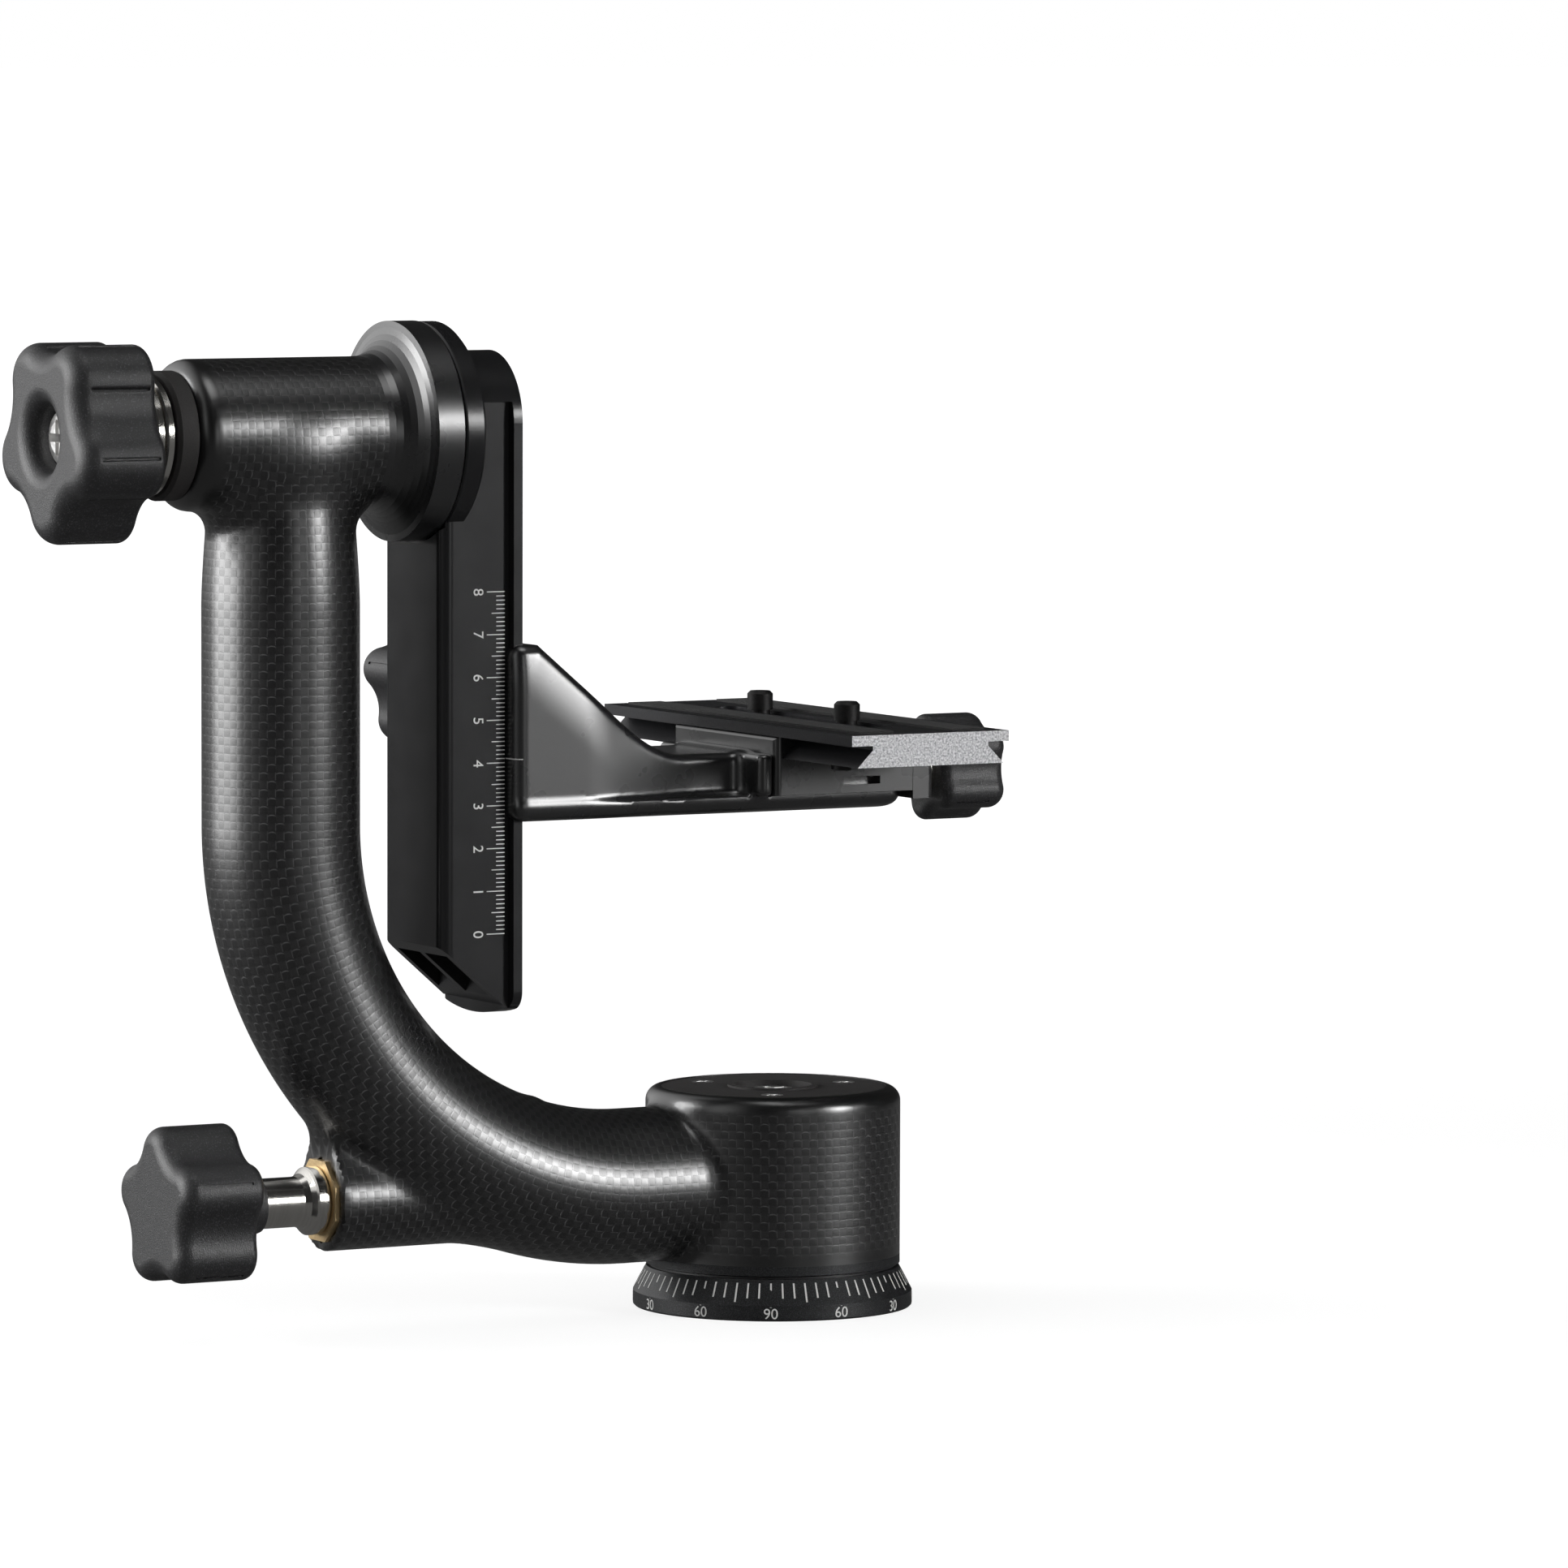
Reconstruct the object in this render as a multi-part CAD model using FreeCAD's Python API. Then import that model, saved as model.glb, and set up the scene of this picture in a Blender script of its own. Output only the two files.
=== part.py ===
import FreeCAD, Part
import math
import os
from FreeCAD import Placement, Rotation, Vector

# Gimbal head for a long lens. Millimetres. The origin is the centre of the base underside, on the
# pan axis. +Z is up along the pan axis, +X runs from the tilt knob towards the pan axis, and the
# lens looks along -Y. The tilt axis is parallel to X and crosses the pan axis.

# ---- driving dimensions: the carbon arm
tilt_axis_height = 211.0
arm_axis_height = 30.7
mast_offset = 131.4            # from the pan axis to the middle of the upright
arm_radius = 18.4
arm_wall = 3.2
bend_radius = 89.4
housing_radius = 30.5
housing_height = 40.0
housing_wall = 3.5
housing_edge_round = 3.4
sleeve_radius = 17.6
sleeve_blend_drop = 34.0       # how far below the tilt axis the upright starts to narrow
sleeve_left_reach = 28.1       # from the upright's middle to the sleeve's left end
sleeve_right_reach = 19.4
sleeve_end_round = 3.6
pan_lock_height = 31.8         # the pan lock's axis
lock_boss_radius = 12.0
lock_boss_reach = 121.0        # from the pan axis to the boss's end face
lock_boss_length = 56.0        # how far the boss runs in before the bend swallows it
lock_boss_tail_height = 16.4   # the fairing above the boss, measured from the lock's axis
lock_boss_tail_radius = 3.8

# ---- driving dimensions: the base and the pan bearings
base_radius = 33.4
base_band_height = 3.7
base_cone_top_radius = 30.3
base_height = 9.6
glide_ring_thickness = 0.5
glide_ring_step = 0.9          # how far it stands in from the base's top edge
end_ring_thickness = 2.2
spindle_boss_radius = 12.0
spindle_flange_radius = 21.0
spindle_flange_thickness = 4.0
spindle_seat_depth = 4.6       # how far the flange's top sits above the base's web
spindle_shoulder_radius = 13.0
socket_radius = 4.7625         # 3/8 inch tripod thread
socket_depth = 13.0
pan_bearing_bore_radius = 10.0
pan_bearing_outer_radius = 16.0
pan_bearing_width = 7.0
pan_bearing_spread = 21.1      # between the two pan bearings
liner_lip = 1.6                # how far the liners' lips stand in behind the bearings
spindle_screw_radius = 3.0
spindle_screw_length = 13.0
spindle_screw_head_radius = 6.2
spindle_screw_head_height = 2.8
spindle_screw_bevel = 1.5      # round the top of its head
spindle_screw_recess_reach = 3.6
spindle_screw_recess_slot = 1.5
spindle_screw_recess_depth = 2.0
spindle_washer_thickness = 1.35
top_cap_thickness = 3.0
top_cap_inset = 0.2            # how far the cap's face lies below the housing's rim
top_cap_window_radius = 9.25
top_cap_collar_width = 1.6
top_cap_collar_rise = 0.5
cap_screw_circle_radius = 19.5
cap_screw_start = -120.0       # degrees about the pan axis
cap_screw_radius = 1.5
cap_screw_head_radius = 2.7
cap_screw_head_height = 1.4
cap_screw_recess_reach = 1.6
cap_screw_recess_slot = 0.7
cap_screw_recess_depth = 0.9
cap_screw_depth = 6.0          # into the liner
base_screw_circle_radius = 16.6
base_screw_head_radius = 4.0
base_screw_radius = 2.0
base_screw_key_radius = 1.3
base_screw_key_depth = 1.6
base_screw_cover = 0.8         # metal left above a base screw's end

# ---- driving dimensions: the tilt bearings, flange and hub
tilt_bearing_bore_radius = 7.0
tilt_bearing_outer_radius = 12.6
tilt_bearing_width = 7.0
tilt_bearing_setback = 4.4     # from the flange's face to the right bearing
bearing_ring_share = 0.33      # of the space between bore and rim, for each ring's wall
bearing_ball_share = 0.27      # of that space, for the balls' radius
bearing_ball_pitch = 2.6       # ball radii between neighbours
tilt_shoulder_radius = 10.0
flange_radius = 25.7
flange_length = 15.8
flange_rim_width = 7.0
end_cap_radius = 15.0
end_cap_length = 5.0
end_cap_plug_length = 2.2
end_cap_bevel = 0.8
end_cap_hole_gap = 1.5
hub_radius = 25.5
hub_thickness = 5.3
tilt_stud_radius = 4.9
friction_washer_outer_radius = 20.0
friction_washer_thickness = 1.2
hub_bolt_radius = 4.0
hub_bolt_length = 22.0
hub_bolt_head_radius = 6.6
hub_bolt_seat_depth = 2.0      # under the rail's back
hub_bolt_sink = 0.6            # below the rail's face
hub_bolt_key_radius = 3.0
hub_bolt_key_depth = 2.6
spindle_end_depth = 5.0        # how far short of the rail's back the tilt spindle stops

# ---- driving dimensions: the swing arm and its rail
swing_body_half_width = 15.0
swing_body_lead = 1.2          # how far the body's outer face stands past the hub's face
swing_body_depth = 16.1
swing_corner_round = 3.0
swing_wall = 2.6
swing_web_thickness = 2.4
rail_half_width = 16.6
rail_neck_half_width = 14.2
rail_groove_width = 1.8         # across the neck, along X
rail_flare = 0.2
rail_lip_thickness = 2.3
rail_top_rise = 2.0            # the rounded top's centre above the tilt axis
rail_drop = 136.8              # from the tilt axis to the lowest point of the rail
rail_bottom_crown = 2.4
rail_corner_round = 4.5
groove_top_rise = 7.0          # where the rail's side grooves begin above the tilt axis
slant_outer_drop = 120.0       # the slanted end, at the body's outer face
slant_inner_drop = 134.0       # the slanted end, at the rail
cavity_top_drop = 31.0

# ---- driving dimensions: the bracket that slides on the rail
bracket_half_width = 20.0
bracket_bottom_drop = 91.0     # from the tilt axis to the bracket's underside
bracket_height = 41.3
platform_thickness = 4.3
platform_reach = 23.3          # from the pan axis to the platform's free end
lug_height = 14.0
lug_length = 4.2
lug_foot = 17.6                # the flat between the slope's foot and the lug
bracket_shoulder_length = 3.4
bracket_slope_run = 14.8       # the straight upper slope, sideways
bracket_slope_drop = 10.8
bracket_slope_sag = 0.10       # of the lower slope's length
waist_turn = 18.0              # how gently the wall's waist sets off and ends
pocket_half_width = 15.5       # where the wall meets the lug
pocket_length = 8.0
waist_start = 7.0              # behind the rail's face
platform_half_width = 21.5
platform_corner = 3.0
rail_hook_corner = 3.0
rail_body_gap = 0.85           # between a hook's tip and the arm's body, along X
rail_neck_gap = 0.2
rail_jaw_play = 0.5            # between the jaw's back and the bracket's side
rail_jaw_thickness = 7.0
rail_jaw_length = 29.0
rail_jaw_corner = 3.0
rail_jaw_end_corner = 1.8
rail_jaw_pin_radius = 1.5
rail_jaw_pin_length = 14.0
rail_jaw_pin_depth = 9.0       # how much of a pin is in the bracket
rail_jaw_pin_spread = 9.0      # above and below the rail knob's axis
rail_jaw_pin_offset = -4.5     # along X from the rail knob's axis

# ---- driving dimensions: the lens plate and its clamp
clamp_offset = 8.0             # from the pan axis to the middle of the plate and its clamp
plate_length = 121.0
plate_thickness = 7.6
plate_top_half_width = 21.2
plate_waist_half_width = 15.6
plate_bottom_half_width = 19.7
plate_bottom_rise = 8.8        # above the platform
plate_flange_thickness = 2.5
plate_slot_half_width = 3.3
plate_slot_length = 79.0
plate_counterbore_half_width = 6.6
plate_counterbore_depth = 3.6
grip_strip_width = 9.0
grip_strip_thickness = 1.0
grip_strip_recess = 0.5
grip_strip_end_gap = 4.0
stop_screw_inset = 19.4        # from the plate's end to a stop screw
stop_screw_offset = 13.0       # from the plate's middle line
stop_screw_radius = 1.5
stop_screw_length = 4.7
stop_screw_head_radius = 2.4
stop_screw_head_height = 1.8
stop_screw_key_radius = 1.2
stop_screw_key_depth = 1.2
foot_screw_radius = 3.1        # 1/4 inch camera thread
foot_screw_neck_radius = 2.5   # in the slot, so that the screw stays in it
foot_screw_spacing = 42.0
foot_screw_rise = 5.0
foot_screw_head_radius = 5.6
foot_screw_head_thickness = 2.6
foot_screw_head_inset = 0.6    # above the plate's underside
foot_screw_tip = 0.7
foot_screw_slot_width = 1.2
foot_screw_slot_depth = 1.1
clamp_half_length = 25.0
clamp_jaw_width = 5.9
clamp_jaw_end_radius = 1.6
clamp_jaw_drop = 2.0           # how far the moving jaw hangs past the platform's top
clamp_knob_height = 3.0        # the clamp screw's axis above the platform's top
clamp_pin_spacing = 34.0
clamp_pin_radius = 1.5
clamp_screw_radius = 2.5
clamp_screw_reach = 16.0       # of its thread inside the clamp's floor
clamp_thread_depth = 24.0      # of the tapped hole, from the channel's open side
clamp_collar_radius = 6.4
clamp_floor_inset = 3.9        # how far the floor stops short of the plate's lower edge
clamp_bolt_radius = 1.6
clamp_bolt_head_radius = 3.2
clamp_bolt_length = 7.7
clamp_bolt_key_radius = 1.2
clamp_bolt_key_depth = 1.6
clamp_bolt_sink = 0.6
clamp_bolt_half_spacing_x = 8.0
clamp_bolt_half_spacing_y = 11.0
clamp_window_left = -3.1       # the little window in the clamp's front end
clamp_window_width = 10.0
clamp_window_height = 1.9
clamp_window_depth = 3.0
clamp_window_drop = 6.9        # below the plate

# ---- driving dimensions: the knobs
tilt_knob_radius = 24.5
tilt_knob_valley_radius = 19.4
tilt_knob_lobe_radius = 8.8
tilt_knob_length = 21.5
tilt_knob_gap = 12.0           # from the sleeve's left end to the knob's back
tilt_knob_recess_radius = 9.4
tilt_knob_recess_depth = 8.0
tilt_knob_recess_lip = 2.2
tilt_knob_recess_draft = 0.8
tilt_knob_spin = 43.0          # degrees, of a lobe from straight up
tilt_insert_wall = 2.6
tilt_cap_screw_height = 4.2
tilt_washer_radii = (12.2, 13.2, 13.8)
pan_knob_radius = 19.3
pan_knob_valley_radius = 15.0
pan_knob_lobe_radius = 6.4
pan_knob_length = 21.0
pan_knob_gap = 23.0            # from the boss's end face to the knob's back
pan_knob_spin = 4.0
pan_knob_hub_length = 6.0
pan_knob_hub_flare = 2.6
pan_shaft_radius = 5.9
pan_core_radius = 4.9
pan_collar_radius = 8.0
pan_collar_thickness = 3.4
pan_collar_flare = 2.4
bush_radius = 10.2             # across the corners of the eight-sided brass bush
bush_rim_thickness = 1.8
bush_seat_depth = 0.72
bush_shank_radius = 6.6
bush_length = 16.0
lock_rod_radius = 3.6
brake_pad_wall = 0.9
brake_pad_length = 9.0
brake_pad_pocket = 3.0
rail_knob_radius = 16.2
rail_knob_valley_radius = 12.6
rail_knob_lobe_radius = 5.2
rail_knob_length = 21.0
rail_knob_gap = 11.0
rail_knob_spin = -18.0
rail_knob_setback = 9.5        # from the rail's face to the knob's axis, along X
rail_knob_rise = 28.3          # above the bracket's underside
rail_stud_radius = 3.9
rail_stud_reach = 18.0         # inside the bracket
rail_collar_radius = 7.1
clamp_knob_radius = 13.2
clamp_knob_valley_radius = 10.4
clamp_knob_lobe_radius = 4.4
clamp_knob_length = 17.5
clamp_knob_gap = 11.5
clamp_knob_spin = 18.0
knob_lobes = 5
knob_front_round = 4.0
knob_back_round = 2.4
lobe_groove_back_gap = 3.4     # plain length of lobe behind its groove
lobe_groove_front_gap = 5.2
knob_bore_share = 0.6          # of a knob's length, for the stud's hole
lobe_groove_width = 0.6
lobe_groove_depth = 0.4
collar_lip = 1.3               # how far a thrust collar flares where it meets its jaw
collar_lip_length = 2.0
edge_bevel = 0.4               # the fine bevel on turned rims

# ---- clearances
running_clearance = 0.05       # radial, a shaft or ball in its seat
fit_clearance = 0.04           # radial, a screw or liner in its hole
face_gap = 0.3                 # between faces that turn past each other
slide_gap = 0.1                # between the rail, the plate and what slides along them
side_gap = 0.4                 # beside a bearing's face

# ---- places that follow from the dimensions above
Z = Vector(0, 0, 1)
X = Vector(1, 0, 0)
Y = Vector(0, 1, 0)
mast_x = -mast_offset
bend_centre_x = mast_x + bend_radius
bend_centre_z = arm_axis_height + bend_radius
liner_radius = sleeve_radius - arm_wall
end_ring_bottom = base_height + glide_ring_thickness + face_gap
housing_bottom = end_ring_bottom + end_ring_thickness
housing_top = housing_bottom + housing_height
sleeve_left_x = mast_x - sleeve_left_reach
sleeve_right_x = mast_x + sleeve_right_reach
flange_face_x = sleeve_right_x + flange_length
left_bearing_x = sleeve_left_x + end_cap_plug_length + side_gap
right_bearing_x = flange_face_x - tilt_bearing_setback - tilt_bearing_width
tilt_knob_back_x = sleeve_left_x - tilt_knob_gap
tilt_insert_radius = tilt_stud_radius + tilt_insert_wall
pan_knob_back_x = -lock_boss_reach - pan_knob_gap
pad_radius = lock_rod_radius + brake_pad_wall
pad_left_x = -spindle_shoulder_radius - brake_pad_length + brake_pad_wall
hub_face_x = flange_face_x + face_gap
swing_outer_x = hub_face_x - swing_body_lead
swing_inner_x = swing_outer_x + swing_body_depth
rail_groove_x = swing_inner_x + rail_groove_width
rail_flare_x = rail_groove_x + rail_flare
rail_face_x = rail_flare_x + rail_lip_thickness
bracket_bottom = tilt_axis_height - bracket_bottom_drop
platform_top = bracket_bottom + platform_thickness
bracket_back_x = rail_face_x + slide_gap
spindle_flange_bottom = spindle_seat_depth
spindle_flange_top = spindle_flange_bottom + spindle_flange_thickness
lower_bearing_z = housing_bottom + slide_gap
upper_bearing_z = lower_bearing_z + pan_bearing_width + pan_bearing_spread
spindle_top = upper_bearing_z + pan_bearing_width
rail_jaw_inner_y = rail_half_width + rail_jaw_play
rail_knob_x = bracket_back_x + rail_knob_setback
rail_knob_z = bracket_bottom + rail_knob_rise
rail_knob_back_y = rail_jaw_inner_y + rail_jaw_thickness + rail_knob_gap
hook_left_x = swing_inner_x + rail_body_gap
hook_tip_x = rail_groove_x - slide_gap
hook_flare_x = rail_flare_x - slide_gap
plate_bottom = platform_top + plate_bottom_rise
plate_top = plate_bottom + plate_thickness
plate_neck_z = plate_bottom + plate_bottom_half_width - plate_waist_half_width
clamp_outer_x = plate_waist_half_width + slide_gap + clamp_jaw_width
clamp_floor_x = plate_bottom_half_width - clamp_floor_inset
clamp_axis_z = platform_top + clamp_knob_height
lug_right_x = clamp_offset - clamp_outer_x - slide_gap
lug_left_x = lug_right_x - lug_length


# ---- shared shapes
def disc(radius, length, start, axis):
    return Part.makeCylinder(radius, length, start, axis)


def ring(outer, inner, length, start, axis):
    return disc(outer, length, start, axis).cut(disc(inner, length, start, axis))


def turned(profile, start, axis):
    """A turned piece: profile lists (distance along the axis, radius) round a closed outline."""
    across = Y if abs(axis.dot(Y)) < 0.5 else Z
    points = [start + axis * along + across * radius for along, radius in profile]
    outline = Part.makePolygon(points + [points[0]])
    return Part.Face(outline).revolve(start, axis, 360)


def block(low, high):
    size = Vector(*high) - Vector(*low)
    return Part.makeBox(size.x, size.y, size.z, Vector(*low))


def prism(points, direction):
    outline = Part.makePolygon(points + [points[0]])
    return Part.Face(outline).extrude(direction)


def group(solids):
    return Part.makeCompound(solids)


def around(count, radius, start_angle=0.0):
    """Centres spaced evenly on a circle about the pan axis."""
    step = 2 * math.pi / count
    angles = [start_angle + step * index for index in range(count)]
    return [Vector(radius * math.cos(a), radius * math.sin(a), 0) for a in angles]


def cross_recess(start, axis, reach, width, depth):
    """The cross-shaped driver recess, cut down from the top of a screw head at start."""
    blades = []
    for turn in (0, 90):
        blade = Part.makeBox(2 * reach, width, depth, Vector(-reach, -width / 2, -depth))
        blade.rotate(Vector(0, 0, 0), Z, turn)
        blades.append(blade)
    cutter = blades[0].fuse(blades[1])
    cutter.Placement = Placement(start, Rotation(Z, axis))
    return cutter


def ball_bearing(bore, outer, width, start, axis):
    """One deep-groove bearing as its inner ring, outer ring and balls."""
    pitch = (bore + outer) / 2
    ball_radius = (outer - bore) * bearing_ball_share
    ring_wall = (outer - bore) * bearing_ring_share
    middle = start + axis * (width / 2)
    groove = Part.makeTorus(pitch, ball_radius + running_clearance, middle, axis)
    inner_ring = ring(bore + ring_wall, bore, width, start, axis).cut(groove)
    outer_ring = ring(outer, outer - ring_wall, width, start, axis).cut(groove)
    count = int(2 * math.pi * pitch / (ball_radius * bearing_ball_pitch))
    turn = Rotation(Z, axis)
    balls = []
    for centre in around(count, pitch):
        balls.append(Part.makeSphere(ball_radius, middle + turn.multVec(centre)))
    return inner_ring, outer_ring, balls


def lobed_outline(tip_radius, valley_radius, lobe_radius, lobes):
    """A closed line of lobes and valleys, every arc running tangent into the next."""
    lobe_centre = tip_radius - lobe_radius
    half_step = math.pi / lobes
    cosine = math.cos(half_step)
    top = lobe_radius ** 2 - lobe_centre ** 2 - valley_radius ** 2
    top += 2 * lobe_centre * valley_radius * cosine
    hollow_radius = top / (2 * (valley_radius - lobe_centre * cosine - lobe_radius))
    hollow_centre = valley_radius + hollow_radius
    share = lobe_radius / (lobe_radius + hollow_radius)
    edges = []
    for index in range(lobes):
        middle = 2 * half_step * index
        lobe = polar(lobe_centre, middle)
        before = lobe + (polar(hollow_centre, middle - half_step) - lobe) * share
        after = lobe + (polar(hollow_centre, middle + half_step) - lobe) * share
        next_lobe = polar(lobe_centre, middle + 2 * half_step)
        valley = polar(hollow_centre, middle + half_step)
        next_before = next_lobe + (valley - next_lobe) * share
        edges.append(Part.Arc(before, polar(tip_radius, middle), after).toShape())
        dip = polar(valley_radius, middle + half_step)
        edges.append(Part.Arc(after, dip, next_before).toShape())
    return Part.Wire(edges)


def polar(radius, angle):
    return Vector(radius * math.cos(angle), radius * math.sin(angle), 0)


def star_knob(tip_radius, valley_radius, lobe_radius, length):
    """A moulded knob standing on its back face, with rounded rims and a fine groove on each lobe."""
    outline = lobed_outline(tip_radius, valley_radius, lobe_radius, knob_lobes)
    knob = Part.Face(outline).extrude(Z * length)
    front = [e for e in knob.Edges if e.BoundBox.ZMin > length - 1e-6]
    back = [e for e in knob.Edges if e.BoundBox.ZMax < 1e-6]
    knob = knob.makeFillet(min(knob_front_round, length / 3), front)
    back = [e for e in knob.Edges if e.BoundBox.ZMax < 1e-6]
    knob = knob.makeFillet(min(knob_back_round, length / 4), back)
    low = lobe_groove_back_gap
    high = length - lobe_groove_front_gap
    inside = tip_radius - lobe_groove_depth
    for index in range(knob_lobes):
        groove = Part.makeBox(2, lobe_groove_width, high - low,
                              Vector(inside, -lobe_groove_width / 2, low))
        groove.rotate(Vector(0, 0, 0), Z, 360 / knob_lobes * index)
        knob = knob.cut(groove)
    return knob


def stand(shape, start, axis, spin=0.0):
    """Stands a shape modelled upright at the origin on start, along axis, turned by spin degrees."""
    shape.rotate(Vector(0, 0, 0), Z, spin)
    shape.Placement = Placement(start, Rotation(Z, axis)).multiply(shape.Placement)
    return shape


# ---- the base, which stays still on the tripod
def graduated_base():
    body = turned([(0, 0), (0, base_radius - edge_bevel), (edge_bevel, base_radius),
                   (base_band_height, base_radius), (base_height, base_cone_top_radius),
                   (base_height, 0)], Vector(0, 0, 0), Z)
    bore = disc(spindle_boss_radius + fit_clearance, base_height, Vector(0, 0, 0), Z)
    seat = disc(spindle_flange_radius + fit_clearance, base_height,
                Vector(0, 0, spindle_flange_bottom), Z)
    body = body.cut(bore).cut(seat)
    for centre in around(4, base_screw_circle_radius, math.pi / 4):
        body = body.cut(base_screw(centre, fit_clearance))
    return body


def base_screw(centre, extra=0.0):
    """A countersunk screw from below; extra gives the hole around it."""
    head = base_screw_head_radius
    shank = base_screw_radius
    top = spindle_flange_top - base_screw_cover
    return turned([(0, 0), (0, head + extra), (head - shank, shank + extra),
                   (top + extra, shank + extra), (top + extra, 0)], centre, Z)


def base_screws():
    screws = []
    for centre in around(4, base_screw_circle_radius, math.pi / 4):
        key_recess = disc(base_screw_key_radius, base_screw_key_depth, centre, Z)
        screws.append(base_screw(centre).cut(key_recess))
    return group(screws)


def pan_spindle():
    start = Vector(0, 0, 0)
    body = turned([(0, 0), (0, spindle_boss_radius),
                   (spindle_flange_bottom, spindle_boss_radius),
                   (spindle_flange_bottom, spindle_flange_radius),
                   (spindle_flange_top, spindle_flange_radius),
                   (spindle_flange_top, spindle_shoulder_radius),
                   (lower_bearing_z, spindle_shoulder_radius),
                   (lower_bearing_z, pan_bearing_bore_radius - fit_clearance),
                   (spindle_top, pan_bearing_bore_radius - fit_clearance),
                   (spindle_top, 0)], start, Z)
    socket = disc(socket_radius, socket_depth, start, Z)
    body = body.cut(socket)
    for centre in around(4, base_screw_circle_radius, math.pi / 4):
        body = body.cut(base_screw(centre, fit_clearance))
    return body.cut(spindle_screw_blank(fit_clearance))


def spindle_screw_blank(extra=0.0):
    """The screw that holds the bearing stack; its head shows in the top cap's window."""
    shank = spindle_screw_radius + extra
    head = spindle_screw_head_radius + extra
    seat = spindle_screw_length + spindle_washer_thickness
    rim = seat + spindle_screw_head_height / 2
    top = seat + spindle_screw_head_height
    return turned([(0, 0), (0, shank), (seat, shank), (seat, head), (rim, head),
                   (top, head - spindle_screw_bevel), (top, 0)],
                  Vector(0, 0, spindle_top - spindle_screw_length), Z)


def spindle_screw():
    top_z = spindle_top + spindle_washer_thickness + spindle_screw_head_height
    recess = cross_recess(Vector(0, 0, top_z), Z, spindle_screw_recess_reach,
                          spindle_screw_recess_slot, spindle_screw_recess_depth)
    return spindle_screw_blank().cut(recess)


def spindle_washer():
    outer = inner_ring_radius(pan_bearing_bore_radius, pan_bearing_outer_radius)
    return ring(outer, spindle_screw_radius + fit_clearance, spindle_washer_thickness,
                Vector(0, 0, spindle_top), Z)


def inner_ring_radius(bore, outer):
    return bore + (outer - bore) * bearing_ring_share


def bearing_spacer():
    """The steel drum between the inner rings, which the pan lock presses on."""
    start = Vector(0, 0, lower_bearing_z + pan_bearing_width)
    return ring(spindle_shoulder_radius, pan_bearing_bore_radius, pan_bearing_spread, start, Z)


def glide_ring():
    return ring(base_cone_top_radius - glide_ring_step, spindle_flange_radius + fit_clearance,
                glide_ring_thickness, Vector(0, 0, base_height), Z)


# ---- the arm and everything in its housing
def arm_solid(inset=0.0):
    """The arm's swept body: lower tube, bend and upright, which narrows to the sleeve's radius."""
    radius = arm_radius - inset
    blend_z = tilt_axis_height - sleeve_blend_drop
    foot = disc(radius, -bend_centre_x, Vector(bend_centre_x, 0, arm_axis_height), X)
    circle = Part.Wire(Part.makeCircle(radius, Vector(bend_centre_x, 0, arm_axis_height), X))
    bend = Part.Face(circle).revolve(Vector(bend_centre_x, 0, bend_centre_z), Y, 90)
    mast = disc(radius, blend_z - bend_centre_z, Vector(mast_x, 0, bend_centre_z), Z)
    neck = Part.makeCone(radius, sleeve_radius - inset, sleeve_blend_drop,
                         Vector(mast_x, 0, blend_z), Z)
    return foot.fuse(bend).fuse(mast).fuse(neck)


def lock_boss():
    """The teardrop boss under the elbow, which carries the pan lock's bush."""
    tail_z = pan_lock_height + lock_boss_tail_height
    lean = math.asin((lock_boss_radius - lock_boss_tail_radius) / lock_boss_tail_height)
    left_x = -lock_boss_reach

    def edge_point(radius, height, side):
        return Vector(left_x, side * radius * math.cos(lean), height + radius * math.sin(lean))

    low_right = edge_point(lock_boss_radius, pan_lock_height, 1)
    low_left = edge_point(lock_boss_radius, pan_lock_height, -1)
    high_right = edge_point(lock_boss_tail_radius, tail_z, 1)
    high_left = edge_point(lock_boss_tail_radius, tail_z, -1)
    crest = Vector(left_x, 0, tail_z + lock_boss_tail_radius)
    keel = Vector(left_x, 0, pan_lock_height - lock_boss_radius)
    outline = Part.Wire([Part.makeLine(low_right, high_right),
                         Part.Arc(high_right, crest, high_left).toShape(),
                         Part.makeLine(high_left, low_left),
                         Part.Arc(low_left, keel, low_right).toShape()])
    return Part.Face(outline).extrude(X * lock_boss_length)


def carbon_arm():
    """The one-piece moulded carbon arm: pan housing, hollow J tube and tilt sleeve."""
    housing = disc(housing_radius, housing_height, Vector(0, 0, housing_bottom), Z)
    rim = [e for e in housing.Edges if e.BoundBox.ZMin > housing_top - 1e-6]
    housing = housing.makeFillet(housing_edge_round, rim)
    sleeve = disc(sleeve_radius, sleeve_right_x - sleeve_left_x,
                  Vector(sleeve_left_x, 0, tilt_axis_height), X)
    rim = [e for e in sleeve.Edges if e.BoundBox.XMax < sleeve_left_x + 1e-6]
    sleeve = sleeve.makeFillet(sleeve_end_round, rim)
    outside = arm_solid().fuse(lock_boss()).fuse(housing).fuse(sleeve)
    bore = disc(liner_radius + fit_clearance, sleeve_right_x - sleeve_left_x,
                Vector(sleeve_left_x, 0, tilt_axis_height), X)
    cup = disc(housing_radius - housing_wall + fit_clearance, housing_height,
               Vector(0, 0, housing_bottom), Z)
    plug = disc(bush_shank_radius + fit_clearance, lock_boss_reach,
                Vector(-lock_boss_reach, 0, pan_lock_height), X)
    under = disc(housing_radius + fit_clearance, housing_bottom, Vector(0, 0, 0), Z)
    arm = outside.cut(arm_solid(arm_wall)).cut(bore).cut(cup).cut(under)
    return arm.cut(plug).cut(bush_blank(fit_clearance))


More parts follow.
